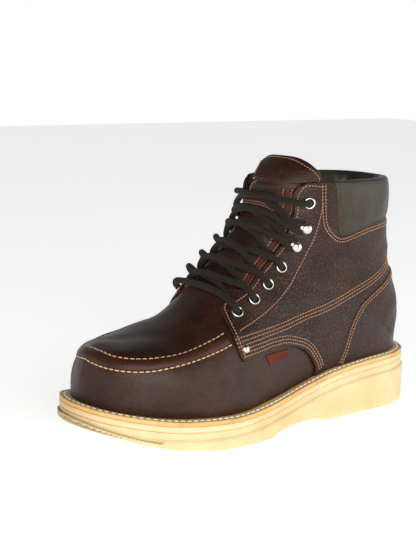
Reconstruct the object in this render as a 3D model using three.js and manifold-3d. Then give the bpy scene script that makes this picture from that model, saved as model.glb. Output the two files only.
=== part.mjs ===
// Safety work boot, left foot: moc-toe lace-up upper on a welted wedge sole.
// Millimetres, +Z up. The toe points along -X and the outer side of the foot is -Y.
// The origin is on the floor, in the middle of the heel's flat underside.

import * as THREE from "three";
import { mergeVertices } from "three/addons/utils/BufferGeometryUtils.js";
import Module from "manifold-3d";

const wasm = await Module();
wasm.setup();

// Driving sizes
const LAST_LENGTH = 287;
const BALL_WIDTH = 96;
const HEEL_BACK = 40;
const HEEL_SEAT = 42.5;
const BALL_SEAT = 22.5;
const TOE_SEAT = 33;
const SHAFT_HEIGHT = 138.5;
const TOE_SPRING = 17.5;
const ARCH_LIFT = 5;
const WALL = 2.2;
const GAP = 0.3;

// Sole layers
const WELT_WIDTH = 8;
const WELT_THICKNESS = 3.2;
const WELT_INNER_LAP = 9;
const MIDSOLE_THICKNESS = 4.2;
const INSOLE_THICKNESS = 3.5;
const INSOLE_CLEARANCE = 3;
const SOLE_STEP_DROP = 4.5;
const SOLE_STEP_DEPTH = 1.2;
const SOLE_FLARE = 1.4;

// Tongue
const TONGUE_THICKNESS = 4;
const TONGUE_START = 5;

const LATERAL = -1;
const MEDIAL = 1;

/** Turns rows of numbers into rows with named columns. */
function table(names, rows) {
  return rows.map((row) => Object.fromEntries(names.map((name, i) => [name, row[i]])));
}

// The last, from toe to heel, a row for each section. Shares of LAST_LENGTH: along, topAlong.
// Shares of BALL_WIDTH: lat and med (the feather line), mid (the middle of the top line), wide.
// Share of SHAFT_HEIGHT over the heel seat: topRise.
// square is the exponent of the section's curve: 2 is an ellipse, and more is boxier. squareMed is
// the medial half's, which stands fuller beside the laces.
const FOOT = table(
  ["along", "lat", "med", "topAlong", "topRise", "mid", "wide", "square", "squareMed"],
  [
    [1.0, -0.068, 0.068, 0.986, 0.134, 0.052, 0, 2.3, 2.3],
    [0.976, 0.167, 0.292, 0.97, 0.177, 0.047, 0.236, 2.5, 2.5],
    [0.923, 0.323, 0.396, 0.927, 0.206, 0.036, 0.38, 2.9, 2.9],
    [0.854, 0.443, 0.469, 0.861, 0.22, 0.03, 0.484, 3.1, 3.1],
    [0.767, 0.51, 0.49, 0.787, 0.2455, 0.028, 0.531, 3.1, 3.1],
    [0.662, 0.531, 0.448, 0.714, 0.303, 0.035, 0.521, 2.75, 2.8],
    [0.557, 0.495, 0.365, 0.662, 0.385, 0.045, 0.4635, 2.4, 3.0],
    [0.453, 0.432, 0.3125, 0.617, 0.48, 0.055, 0.415, 2.2, 3.6],
    [0.331, 0.375, 0.3125, 0.575, 0.567, 0.062, 0.388, 2.2, 4],
    [0.209, 0.354, 0.344, 0.537, 0.646, 0.066, 0.38, 2.25, 4],
    [0.101, 0.328, 0.333, 0.509, 0.711, 0.068, 0.365, 2.3, 4],
    [0.0383, 0.245, 0.25, 0.49, 0.769, 0.07, 0.354, 2.4, 4],
    [0.0105, 0.135, 0.135, 0.479, 0.805, 0.07, 0.349, 2.45, 4],
    [0, 0, 0, 0.474, 0.83, 0.07, 0.349, 2.5, 3.9],
  ],
);

// The shaft, from the heel's back up the back seam and past the collar to the tongue's top.
// backAlong is a share of LAST_LENGTH and backMid of BALL_WIDTH, and backRise of SHAFT_HEIGHT.
const SHAFT = table(
  ["backAlong", "backRise", "backMid", "topAlong", "topRise", "mid", "wide", "square", "squareMed"],
  [
    [-0.002, 0.105, 0, 0.4704, 0.856, 0.07, 0.349, 2.5, 3.8],
    [0, 0.213, 0, 0.4676, 0.877, 0.07, 0.349, 2.5, 3.7],
    [0.0105, 0.3285, 0.003, 0.4652, 0.899, 0.07, 0.352, 2.45, 3.6],
    [0.028, 0.451, 0.01, 0.4634, 0.921, 0.07, 0.359, 2.4, 3.5],
    [0.042, 0.574, 0.018, 0.4613, 0.942, 0.07, 0.37, 2.35, 3.4],
    [0.05, 0.697, 0.027, 0.46, 0.964, 0.07, 0.38, 2.3, 3.3],
    [0.053, 0.8195, 0.035, 0.4585, 0.982, 0.068, 0.39, 2.3, 3.2],
    [0.0535, 0.9206, 0.04, 0.457, 1.0, 0.066, 0.398, 2.3, 3.0],
    [0.052, 1.0, 0.042, 0.4564, 1.0144, 0.064, 0.402, 2.3, 2.9],
    [0.052, 1.07, 0.042, 0.425, 1.079, 0.062, 0.402, 2.3, 2.8],
    [0.052, 1.14, 0.042, 0.383, 1.144, 0.06, 0.402, 2.3, 2.8],
  ],
);

const HEEL_ROW = FOOT.length - 1;
const COLLAR_ROW = HEEL_ROW + 9;
const TONGUE_ROW = HEEL_ROW + SHAFT.length;

// Shares of LAST_LENGTH from the heel's back, where the sole's curves run
const HEEL_WAVE = { reach: 0.68, power: 1.42 };
const TOE_CURVE_START = 0.66;
const ARCH = { middle: 0.45, half: 0.1 };
const SPRING_START = 0.652;

const toX = (share) => HEEL_BACK - share * LAST_LENGTH;
const toHeight = (share) => HEEL_SEAT + share * SHAFT_HEIGHT;

/** Height of the feather line: level at the ball, climbing to the heel on a wave and to the toe on a curve. */
function seat(x) {
  const along = Math.max(0, (HEEL_BACK - x) / LAST_LENGTH);
  const wave = Math.min(1, along / HEEL_WAVE.reach) ** HEEL_WAVE.power;
  const heel = (1 + Math.cos(Math.PI * wave)) / 2;
  const toe = Math.max(0, (along - TOE_CURVE_START) / (1 - TOE_CURVE_START)) ** 2;
  return BALL_SEAT + heel * (HEEL_SEAT - BALL_SEAT) + toe * (TOE_SEAT - BALL_SEAT);
}

/** Smooth value through four even-spaced values, between the middle two. */
function through(a, b, c, d, t) {
  const slope = (c - a) / 2;
  const nextSlope = (d - b) / 2;
  const rise = c - b;
  return b + t * (slope + t * (3 * rise - 2 * slope - nextSlope + t * (slope + nextSlope - 2 * rise)));
}

/** A column's value at a row number that may lie between two rows. */
function column(rows, read, at) {
  const last = rows.length - 1;
  const row = Math.min(Math.floor(at), last - 1);
  const value = (i) => read(rows[Math.min(Math.max(i, 0), last)]);
  return through(value(row - 1), value(row), value(row + 1), value(row + 2), at - row);
}

// The feather line, where the upper meets the welt: one closed loop, toe to heel along the
// lateral side and back along the medial side.
const FEATHER = FOOT.slice(0, HEEL_ROW)
  .map((row) => new THREE.Vector2(toX(row.along), -row.lat * BALL_WIDTH))
  .concat(
    FOOT.slice(1)
      .reverse()
      .map((row) => new THREE.Vector2(toX(row.along), row.med * BALL_WIDTH)),
  );

/** Point of the feather line at a row number, on one side. */
function feather(at, side) {
  const count = FEATHER.length;
  const turn = side === LATERAL ? at : count - at;
  const row = Math.floor(turn);
  const point = (i) => FEATHER[(i + count) % count];
  const mix = (axis) =>
    through(point(row - 1)[axis], point(row)[axis], point(row + 1)[axis], point(row + 2)[axis], turn - row);
  const x = mix("x");
  return new THREE.Vector3(x, mix("y"), seat(x));
}

/** Point of the feather line moved outwards in plan by a distance. */
function rim(at, side, out) {
  const step = 0.02;
  const before = at - step < 0 ? feather(step - at, -side) : feather(at - step, side);
  const after = at + step > HEEL_ROW ? feather(2 * HEEL_ROW - at - step, -side) : feather(at + step, side);
  const along = after.sub(before);
  const point = feather(at, side);
  const size = Math.hypot(along.x, along.y);
  point.x -= (along.y / size) * out * side;
  point.y += (along.x / size) * out * side;
  point.z = seat(point.x);
  return point;
}

const BACK_SEAM = [{ backAlong: 0, backRise: 0, backMid: 0 }, ...SHAFT];
const ALL_ROWS = [...FOOT, ...SHAFT];

/** Point of the last at a row number, and a share from the feather line or back seam (0) to the top line (1). */
function skin(at, share, side) {
  const onFoot = at <= HEEL_ROW;
  const base = onFoot
    ? feather(at, side)
    : new THREE.Vector3(
        toX(column(BACK_SEAM, (row) => row.backAlong, at - HEEL_ROW)),
        column(BACK_SEAM, (row) => row.backMid, at - HEEL_ROW) * BALL_WIDTH,
        toHeight(column(BACK_SEAM, (row) => row.backRise, at - HEEL_ROW)),
      );
  const other = onFoot ? feather(at, -side) : base;
  const baseMid = (base.y + other.y) / 2;
  const baseHalf = Math.abs(base.y - other.y) / 2;
  const read = (name) => column(ALL_ROWS, (row) => row[name], at);
  const half = Math.max(read("wide") * BALL_WIDTH, baseHalf);
  const square = read(side === LATERAL ? "square" : "squareMed");
  const start = half > 0 ? -Math.acos((baseHalf / half) ** (square / 2)) : -Math.PI / 2;
  const angle = start + share * (Math.PI / 2 - start);
  const rise = (a) => Math.sign(Math.sin(a)) * Math.abs(Math.sin(a)) ** (2 / square);
  const climb = (rise(angle) - rise(start)) / (1 - rise(start));
  const spread = half * Math.abs(Math.cos(angle)) ** (2 / square);
  return new THREE.Vector3(
    THREE.MathUtils.lerp(base.x, toX(read("topAlong")), climb),
    THREE.MathUtils.lerp(baseMid, read("mid") * BALL_WIDTH, climb) + side * spread,
    THREE.MathUtils.lerp(base.z, toHeight(read("topRise")), climb),
  );
}

/** Even numbers from first to last. */
function spaced(first, last, steps) {
  return Array.from({ length: steps + 1 }, (_, i) => first + ((last - first) * i) / steps);
}

/** Geometry of triangles given as one list of corners, with shared corners joined. */
function geometryOf(faces) {
  const geometry = new THREE.BufferGeometry();
  geometry.setAttribute("position", new THREE.Float32BufferAttribute(faces.flatMap((p) => [p.x, p.y, p.z]), 3));
  return mergeVertices(geometry, 1e-4);
}

/** Two triangles of a four-cornered face. */
function quad(a, b, c, d) {
  return [a, b, c, a, c, d];
}

/** Drops triangles that have shrunk to a line where two corners meet. */
function withoutSlivers(points) {
  const kept = [];
  for (let i = 0; i < points.length; i += 3) {
    const [a, b, c] = points.slice(i, i + 3);
    const apart = (p, q) => p.distanceTo(q) > 1e-3;
    if (apart(a, b) && apart(b, c) && apart(c, a)) kept.push(a, b, c);
  }
  return kept;
}

// Every sheet of the last's surface is laid on the same stations, so sheets face each other squarely.
const STATIONS = [
  ...spaced(0, HEEL_ROW, 16),
  ...spaced(HEEL_ROW, COLLAR_ROW, 8).slice(1),
  ...spaced(COLLAR_ROW, TONGUE_ROW, 2).slice(1),
];
const SHARES = spaced(0, 1, 8);
const FULL_WIDTH = 2 * SHARES.length - 1;
const toeToCollar = STATIONS.filter((at) => at < COLLAR_ROW + 0.01).length - 1;
const heelStation = STATIONS.indexOf(HEEL_ROW);

/** The last's points and outward directions, a line for each station from one side over to the other. */
function lastGrid() {
  const lines = STATIONS.map((at) =>
    [
      ...SHARES.map((share) => skin(at, share, LATERAL)),
      ...SHARES.slice(0, -1).reverse().map((share) => skin(at, share, MEDIAL)),
    ].map((point) => ({ point, out: new THREE.Vector3() })),
  );
  for (let i = 0; i < lines.length - 1; i += 1) {
    for (let j = 0; j < FULL_WIDTH - 1; j += 1) {
      const corners = [lines[i][j], lines[i + 1][j], lines[i + 1][j + 1], lines[i][j + 1]];
      const across = corners[2].point.clone().sub(corners[0].point);
      const facing = across.cross(corners[3].point.clone().sub(corners[1].point));
      corners.forEach(({ out }) => out.add(facing));
    }
  }
  lines.forEach((line, i) => {
    const joined = i === 0 ? line.map((_, j) => j) : STATIONS[i] >= HEEL_ROW ? [0] : [];
    for (const j of joined.filter((at) => at < SHARES.length - 1)) {
      const twin = line[FULL_WIDTH - 1 - j];
      line[j].out.add(twin.out);
      twin.out.copy(line[j].out);
    }
  });
  lines.slice(0, heelStation + 1).forEach((line, i) => {
    line[0].out.copy(rim(STATIONS[i], LATERAL, 1)).sub(line[0].point);
    line.at(-1).out.copy(rim(STATIONS[i], MEDIAL, 1)).sub(line.at(-1).point);
    line[0].out.z = 0;
    line.at(-1).out.z = 0;
  });
  lines.flat().forEach(({ out }) => out.normalize());
  return lines;
}

const LAST = lastGrid();

/** A sheet of the last with a thickness, over some of its stations and shares. */
function shell(outer, inner, { first = 0, end = toeToCollar, margin = 0 } = {}) {
  const lines = LAST.slice(first, end + 1);
  const line = (row, station, distance) =>
    row.slice(margin, FULL_WIDTH - margin).map(({ point, out }) => {
      const moved = point.clone().addScaledVector(out, distance(point));
      const edge = point === row[0].point || point === row.at(-1).point;
      if (edge && station <= heelStation) moved.z = seat(moved.x) + GAP;
      return moved;
    });
  const outside = lines.map((row, i) => line(row, first + i, outer));
  const inside = lines.map((row, i) => line(row, first + i, inner));
  const whole = margin === 0;
  const faces = [];
  const last = outside[0].length - 1;
  for (let i = 0; i < lines.length - 1; i += 1) {
    const [out, nextOut, into, nextInto] = [outside[i], outside[i + 1], inside[i], inside[i + 1]];
    for (let j = 0; j < last; j += 1) {
      const outFace = [out[j], nextOut[j], nextOut[j + 1], out[j + 1]];
      const inFace = [into[j], into[j + 1], nextInto[j + 1], nextInto[j]];
      const turned = j >= last / 2;
      faces.push(...quad(...(turned ? [...outFace.slice(1), outFace[0]] : outFace)));
      faces.push(...quad(...(turned ? [...inFace.slice(1), inFace[0]] : inFace)));
    }
    if (whole && first + i >= heelStation) continue;
    faces.push(...quad(out[0], into[0], nextInto[0], nextOut[0]));
    faces.push(...quad(out[last], nextOut[last], nextInto[last], into[last]));
  }
  const ends = whole && first === 0 ? [lines.length - 1] : [0, lines.length - 1];
  for (const end of ends) {
    for (let j = 0; j < last; j += 1) {
      const face = quad(outside[end][j], inside[end][j], inside[end][j + 1], outside[end][j + 1]);
      faces.push(...(end === 0 ? face.reverse() : face));
    }
  }
  return geometryOf(withoutSlivers(faces));
}

const always = (distance) => () => distance;

/** Solid for cutting and joining, from a closed geometry. */
function solid(geometry) {
  const bare = geometry.clone();
  bare.deleteAttribute("normal");
  bare.deleteAttribute("uv");
  const merged = mergeVertices(bare, 1e-4);
  return new wasm.Manifold(
    new wasm.Mesh({
      numProp: 3,
      vertProperties: new Float32Array(merged.attributes.position.array),
      triVerts: new Uint32Array(merged.index.array),
    }),
  );
}

/** Geometry of a cut or joined solid. */
function surface(body) {
  const mesh = body.getMesh();
  const geometry = new THREE.BufferGeometry();
  geometry.setAttribute("position", new THREE.BufferAttribute(new Float32Array(mesh.vertProperties), 3));
  geometry.setIndex(new THREE.BufferAttribute(new Uint32Array(mesh.triVerts), 1));
  return geometry;
}

const boot = new THREE.Group();

/** Adds one named piece to the boot. */
function add(name, geometry, color, roughness = 0.6, metalness = 0) {
  const mesh = new THREE.Mesh(geometry, new THREE.MeshStandardMaterial({ color, roughness, metalness }));
  mesh.name = name;
  boot.add(mesh);
}

// Sole

/** Height of the underside: flat heel, lifted arch, flat ball and a sprung toe. */
function tread(x) {
  const springStart = toX(SPRING_START);
  const near = Math.abs(x - toX(ARCH.middle)) / (ARCH.half * LAST_LENGTH);
  const arch = near < 1 ? ARCH_LIFT * Math.sqrt(1 - near * near) : 0;
  const forward = Math.max(0, (springStart - x) / (springStart - toX(1)));
  return arch + TOE_SPRING * forward ** 2;
}

const SOLE_STEPS = 28;

/** A layer of the sole. Each level of its side says how far out it is and its height over or under the seat. */
function layer(levels) {
  const rows = spaced(0, HEEL_ROW, SOLE_STEPS);
  const ring = (at) => levels.map(({ out, height }) => [LATERAL, MEDIAL].map((side) => {
    const point = rim(at, side, out);
    return new THREE.Vector3(point.x, point.y, height(point));
  }));
  const rings = rows.map(ring);
  const faces = [];
  const low = levels.length - 1;
  for (let i = 0; i < rows.length - 1; i += 1) {
    const [a, b] = [rings[i], rings[i + 1]];
    for (let k = 0; k < low; k += 1) {
      faces.push(...quad(a[k][0], a[k + 1][0], b[k + 1][0], b[k][0]));
      faces.push(...quad(a[k][1], b[k][1], b[k + 1][1], a[k + 1][1]));
    }
    faces.push(...quad(a[0][0], b[0][0], b[0][1], a[0][1]));
    faces.push(...quad(a[low][0], a[low][1], b[low][1], b[low][0]));
  }
  return geometryOf(withoutSlivers(faces));
}

const underSeat = (drop) => (point) => point.z - drop;
const midsoleTop = WELT_THICKNESS + GAP;
const midsoleBottom = midsoleTop + MIDSOLE_THICKNESS;
const outsoleTop = midsoleBottom + GAP;

/** A ring under the feather line, from one distance outside it to another inside it. */
function ring(outer, inner, top, bottom) {
  const rows = spaced(0, HEEL_ROW, SOLE_STEPS);
  const faces = [];
  for (const side of [LATERAL, MEDIAL]) {
    const section = (at) => {
      const [out, into] = [rim(at, side, outer), rim(at, side, inner)];
      const drop = (point, depth) => point.clone().setZ(point.z - depth);
      return [drop(out, top), drop(out, bottom), drop(into, bottom), drop(into, top)];
    };
    const sections = rows.map(section);
    for (let i = 0; i < rows.length - 1; i += 1) {
      const [a, b] = [sections[i], sections[i + 1]];
      for (let k = 0; k < 4; k += 1) {
        const next = (k + 1) % 4;
        const face = quad(a[k], a[next], b[next], b[k]);
        faces.push(...(side === LATERAL ? face : face.reverse()));
      }
    }
  }
  return geometryOf(withoutSlivers(faces));
}

add("welt", ring(WELT_WIDTH, -WELT_INNER_LAP, 0, WELT_THICKNESS), 0xcb9a55, 0.7);

add("midsole", layer([
  { out: WELT_WIDTH, height: underSeat(midsoleTop) },
  { out: WELT_WIDTH, height: underSeat(midsoleBottom) },
]), 0xe8c8a0, 0.7);

add("outsole", layer([
  { out: WELT_WIDTH - GAP, height: underSeat(outsoleTop) },
  { out: WELT_WIDTH - GAP, height: underSeat(outsoleTop + SOLE_STEP_DROP) },
  { out: WELT_WIDTH + SOLE_STEP_DEPTH, height: underSeat(outsoleTop + SOLE_STEP_DROP + SOLE_STEP_DEPTH) },
  { out: WELT_WIDTH + SOLE_FLARE, height: (point) => tread(point.x) + SOLE_STEP_DEPTH },
  { out: WELT_WIDTH, height: (point) => tread(point.x) },
]), 0xfbe6a4, 0.75);

add("insole", layer([
  { out: -WALL - INSOLE_CLEARANCE, height: underSeat(-GAP - INSOLE_THICKNESS) },
  { out: -WALL - INSOLE_CLEARANCE, height: underSeat(-GAP) },
]), 0x8a6a4a, 0.9);

// Upper

/** A wall over the whole shoe, between two distances from the last. */
function wall(outer, inner, reach) {
  return solid(shell(outer, inner, reach));
}

// Seen from the side, a point is a share of LAST_LENGTH from the heel's back and a share of
// SHAFT_HEIGHT over the heel seat.
const FAR = 1.3;
const EYESTAY_EDGE = [[0.64, 0.375], [0.599, 0.412], [0.557, 0.458], [0.514, 0.533], [0.468, 0.61], [0.433, 0.694],
  [0.415, 0.79], [0.407, 0.878], [0.413, 0.939], [0.405, 0.981], [0.385, 1.006], [0.337, 1.01]];
const QUARTER_FRONT = [[0.645, 0.321], [0.648, 0.245], [0.642, 0.169], [0.634, 0.113]];
const QUARTER_LOWER = [[0.56, 0.128], [0.472, 0.141], [0.442, 0.138], [0.396, 0.08], [0.373, 0.032], [0.362, -0.027],
  [0.362, -0.15]];
const COUNTER_EDGE = [[0.288, -0.15], [0.285, 0], [0.266, 0.11], [0.235, 0.22], [0.211, 0.276], [0.1745, 0.336],
  [0.1, 0.442], [-0.1, 0.52]];
const COLLAR_EDGE = [[-0.1, 0.79], [0.05, 0.785], [0.146, 0.774], [0.19, 0.755], [0.24, 0.719], [0.272, 0.712],
  [0.29, 0.728], [0.3, 0.8], [0.3135, 1.012]];

/** A block with an outline seen from the side, from one y to another. */
function sideBlock(points, yLow, yHigh) {
  const shape = new THREE.Shape(points.map(([along, rise]) => new THREE.Vector2(toX(along), toHeight(rise))));
  const block = new THREE.ExtrudeGeometry(shape, { depth: yHigh - yLow, bevelEnabled: false });
  return solid(block.rotateX(Math.PI / 2).translate(0, yHigh, 0));
}

/** A block with an outline seen from above, in shares of LAST_LENGTH and BALL_WIDTH. */
function planBlock(points, zLow, zHigh) {
  const shape = new THREE.Shape(points.map(([along, across]) => new THREE.Vector2(toX(along), across * BALL_WIDTH)));
  return solid(new THREE.ExtrudeGeometry(shape, { depth: zHigh - zLow, bevelEnabled: false }).translate(0, 0, zLow));
}

/** A block with an outline seen from behind, in shares of BALL_WIDTH across and SHAFT_HEIGHT up. */
function backBlock(points, xLow, xHigh) {
  const shape = new THREE.Shape(points.map(([across, rise]) => new THREE.Vector2(across * BALL_WIDTH, toHeight(rise))));
  const block = new THREE.ExtrudeGeometry(shape, { depth: xHigh - xLow, bevelEnabled: false });
  const axes = new THREE.Matrix4().makeBasis(
    new THREE.Vector3(0, 1, 0),
    new THREE.Vector3(0, 0, 1),
    new THREE.Vector3(1, 0, 0),
  );
  return solid(block.applyMatrix4(axes).translate(xLow, 0, 0));
}

/** The same outline moved towards the heel and up by two lengths in millimetres. */
const shifted = (points, back, up) => points.map(([a, r]) => [a - back / LAST_LENGTH, r + up / SHAFT_HEIGHT]);

const WIDE = BALL_WIDTH;
const OVERLAY = 1.8;

/** Finds the row number and share where the last's lateral side passes a side-view place. */
function seek(along, rise) {
  const target = new THREE.Vector2(toX(along), toHeight(rise));
  const miss = (at, share) => {
    const point = skin(at, share, LATERAL);
    return Math.hypot(point.x - target.x, point.z - target.y);
  };
  let best = { at: 9, share: 0.8 };
  for (let reach = 6; reach > 0.001; reach *= 0.6) {
    const nearby = [-1, -0.5, 0, 0.5, 1].flatMap((i) => [-1, -0.5, 0, 0.5, 1].map((j) => ({
      at: THREE.MathUtils.clamp(best.at + i * reach, 0, TONGUE_ROW),
      share: THREE.MathUtils.clamp(best.share + j * reach * 0.06, 0, 1),
    })));
    best = nearby.reduce((a, b) => (miss(b.at, b.share) < miss(a.at, a.share) ? b : a), best);
  }
  return best;
}

/** The side view of the medial side's points that lie opposite the lateral side's. */
function opposite(points) {
  return points.map(([along, rise]) => {
    const { at, share } = seek(along, rise);
    const point = skin(at, share, MEDIAL);
    return [(HEEL_BACK - point.x) / LAST_LENGTH, (point.z - HEEL_SEAT) / SHAFT_HEIGHT];
  });
}

const THROAT_FRONT = 0.655;
const backMiddle = SHAFT[COLLAR_ROW - HEEL_ROW - 1].backMid * BALL_WIDTH;
const eyestays = { lateral: EYESTAY_EDGE, medial: opposite(EYESTAY_EDGE) };
const throatBlock = (edge, yLow, yHigh) =>
  sideBlock([[THROAT_FRONT, FAR], [THROAT_FRONT, edge[0][1]], ...edge, [edge.at(-1)[0], FAR]], yLow, yHigh);
const throat = throatBlock(eyestays.lateral, -WIDE, backMiddle).add(throatBlock(eyestays.medial, backMiddle, WIDE));
const tongueTop = -WALL - GAP;
const tongueReach = { first: STATIONS.findIndex((at) => at > TONGUE_START), end: STATIONS.length - 1, margin: 5 };
// Seen from behind, the tongue's top is a squarish arch
const TONGUE_ARCH = { middle: 0.07, half: 0.345, foot: 0.97, height: 0.165, square: 2.6 };
const archPoint = (turn) => {
  const power = 2 / TONGUE_ARCH.square;
  const across = Math.sign(Math.cos(turn)) * Math.abs(Math.cos(turn)) ** power;
  return [
    TONGUE_ARCH.middle + TONGUE_ARCH.half * across,
    TONGUE_ARCH.foot + TONGUE_ARCH.height * Math.abs(Math.sin(turn)) ** power,
  ];
};
const tongueOutline = [[-FAR, -FAR], [FAR, -FAR], [FAR, TONGUE_ARCH.foot], ...spaced(0, Math.PI, 10).map(archPoint),
  [-FAR, TONGUE_ARCH.foot]];
const tongueSheet = solid(shell(always(tongueTop), always(tongueTop - TONGUE_THICKNESS), tongueReach));
add("tongue", surface(tongueSheet.intersect(backBlock(tongueOutline, -LAST_LENGTH, HEEL_BACK))), 0x3f2d29, 0.6);

// Padded collar: fattest half way up, and rolled over the top of the shaft's wall
const COLLAR_PAD = 3.6;
const COLLAR_LINING_PAD = 4.6;
const COLLAR_EDGE_THICKNESS = 1.2;
const COLLAR_LOW = 0.7;
const COLLAR_TOP = 1.012;
const COLLAR_ROLL = 0.03;

/** How fat the collar is at a point, from 0 at its edges to 1 half way up. */
function fatness(point) {
  const middle = toHeight((COLLAR_LOW + COLLAR_TOP) / 2);
  const reach = ((COLLAR_TOP - COLLAR_LOW) / 2) * SHAFT_HEIGHT;
  const away = (point.z - middle) / reach;
  return Math.sqrt(Math.max(0, 1 - away * away));
}

const collarOuter = (point) => GAP + COLLAR_EDGE_THICKNESS + COLLAR_PAD * fatness(point);
const collarInner = (point) => -WALL - GAP - COLLAR_EDGE_THICKNESS - COLLAR_LINING_PAD * fatness(point);
const pastCollar = { end: toeToCollar + 1 };
const collarOutline = [...COLLAR_EDGE, [-0.1, COLLAR_TOP]];
const behindCollar = [[-0.1, -FAR], [0.5, -FAR], [0.5, COLLAR_TOP - COLLAR_ROLL], [-0.1, COLLAR_TOP - COLLAR_ROLL]];
const collarCore = wall(always(GAP), always(-WALL - GAP), pastCollar).intersect(sideBlock(behindCollar, -WIDE, WIDE));
const collar = wall(collarOuter, collarInner, pastCollar)
  .intersect(sideBlock(collarOutline, -WIDE, WIDE))
  .subtract(collarCore);
add("collar", surface(collar), 0x4a4238, 0.55);

// Eyelets, hooks and rivets, from the toe upwards: along and rise of the lateral side's
const FITTINGS = table(
  ["along", "rise", "kind"],
  [
    [0.608, 0.345, "eyelet"],
    [0.5515, 0.4007, "eyelet"],
    [0.502, 0.469, "eyelet"],
    [0.453, 0.55, "eyelet"],
    [0.409, 0.656, "hook"],
    [0.3815, 0.757, "hook"],
    [0.375, 0.896, "eyelet"],
  ],
);
const RIVET_PLACE = { along: 0.62, rise: 0.175 };

/** Point of the last with its outward direction, away from its seams. */
function standing(at, share, side) {
  const step = 0.05;
  const along = skin(at + step, share, side).sub(skin(at - step, share, side));
  const up = skin(at, Math.min(share + step, 1), side).sub(skin(at, share - step, side));
  return { point: skin(at, share, side), out: along.cross(up).multiplyScalar(-side).normalize() };
}

/** Turns a geometry's Y axis to a direction and moves it to a point. */
function stood(geometry, { point, out }, lift = 0) {
  const turn = new THREE.Quaternion().setFromUnitVectors(new THREE.Vector3(0, 1, 0), out);
  const at = point.clone().addScaledVector(out, lift);
  return geometry.applyQuaternion(turn).translate(at.x, at.y, at.z);
}

const lathe = (profile, sides) =>
  new THREE.LatheGeometry(profile.map(([r, y]) => new THREE.Vector2(r, y)), sides);

const FACE = GAP + OVERLAY;
const FITTING_SIDES = 8;
const FITTING_CLEARANCE = 0.45;
const EYELET_RADIUS = 4.8;
const EYELET_HOLE = 2.7;
const EYELET_BARREL = 3.3;
const EYELET_RISE = 1.3;
const HOLE_RADIUS = EYELET_BARREL + GAP;
const HOOK_RADIUS = 4.5;
const HOOK_HEIGHT = 6.4;
const HOOK_SEAT = 0.25;
const HOOK_STEM = 1.7;
const RIVET_RADIUS = 3.2;
const RIVET_RISE = 2;

const eyeletProfile = [
  [EYELET_HOLE, -FACE - WALL],
  [EYELET_BARREL, -FACE - WALL],
  [EYELET_BARREL, FITTING_CLEARANCE],
  [EYELET_RADIUS, FITTING_CLEARANCE],
  [0.8 * EYELET_RADIUS, FITTING_CLEARANCE + EYELET_RISE],
  [EYELET_HOLE, FITTING_CLEARANCE + 0.6 * EYELET_RISE],
  [EYELET_HOLE, -FACE - WALL],
];
const hookProfile = [
  [0, HOOK_SEAT],
  [0.85 * HOOK_RADIUS, HOOK_SEAT],
  [HOOK_STEM, 0.25 * HOOK_HEIGHT],
  [HOOK_STEM, 0.6 * HOOK_HEIGHT],
  [HOOK_RADIUS, 0.65 * HOOK_HEIGHT],
  [0.72 * HOOK_RADIUS, 0.9 * HOOK_HEIGHT],
  [0, HOOK_HEIGHT],
];
const rivetProfile = [
  [0, FITTING_CLEARANCE],
  [RIVET_RADIUS, FITTING_CLEARANCE],
  [0.75 * RIVET_RADIUS, 0.8 * RIVET_RISE],
  [0, RIVET_RISE],
];
const METAL = 0xc9c9c6;
const SIDES = { lateral: LATERAL, medial: MEDIAL };
const fittings = {};
let holes = null;
for (const [word, side] of Object.entries(SIDES)) {
  fittings[word] = FITTINGS.map(({ along, rise }) => {
    const { at, share } = seek(along, rise);
    return { at, share, ...standing(at, share, side) };
  });
  FITTINGS.forEach(({ kind }, i) => {
    const place = fittings[word][i];
    const profile = kind === "eyelet" ? eyeletProfile : hookProfile;
    add(`${kind}_${word}_${i + 1}`, stood(lathe(profile, FITTING_SIDES), place, FACE), METAL, 0.25, 1);
    if (kind !== "eyelet") return;
    const drill = new THREE.CylinderGeometry(HOLE_RADIUS, HOLE_RADIUS, 4 * FACE, FITTING_SIDES);
    const hole = solid(stood(drill, place));
    holes = holes ? holes.add(hole) : hole;
  });
  const { at, share } = seek(RIVET_PLACE.along, RIVET_PLACE.rise);
  add(`rivet_${word}`, stood(lathe(rivetProfile, FITTING_SIDES), standing(at, share, side), FACE), METAL, 0.3, 1);
}

const underCollar = sideBlock(
  [[-0.1, COLLAR_TOP - 2 * COLLAR_ROLL], [0.33, COLLAR_TOP - 2 * COLLAR_ROLL], [0.33, FAR], [-0.1, FAR]],
  -WIDE,
  WIDE,
);
const vamp = wall(always(0), always(-WALL)).subtract(throat).subtract(underCollar).subtract(holes);
add("upper", surface(vamp), 0x4a3530, 0.5);

// Overlays
const overlaySheet = wall(always(FACE), always(GAP));
const quarterOutline = (eyestay) => [
  ...eyestay.slice().reverse(),
  ...QUARTER_FRONT,
  ...QUARTER_LOWER,
  ...shifted(COUNTER_EDGE, -GAP, GAP),
  ...shifted(COLLAR_EDGE, -GAP, -GAP),
];
const seamAllowance = GAP / 2;
for (const [word, side] of Object.entries(SIDES)) {
  const [low, high] = side === LATERAL ? [-WIDE, -seamAllowance] : [seamAllowance, WIDE];
  const block = sideBlock(quarterOutline(eyestays[word]), low + backMiddle, high + backMiddle);
  add(`quarter_${word}`, surface(overlaySheet.intersect(block).subtract(holes)), 0x523c35, 0.5);
}

const counterOutline = [...COUNTER_EDGE, [-0.1, -0.15]];
add("counter", surface(overlaySheet.intersect(sideBlock(counterOutline, -WIDE, WIDE))), 0x4a3530, 0.5);

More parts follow.
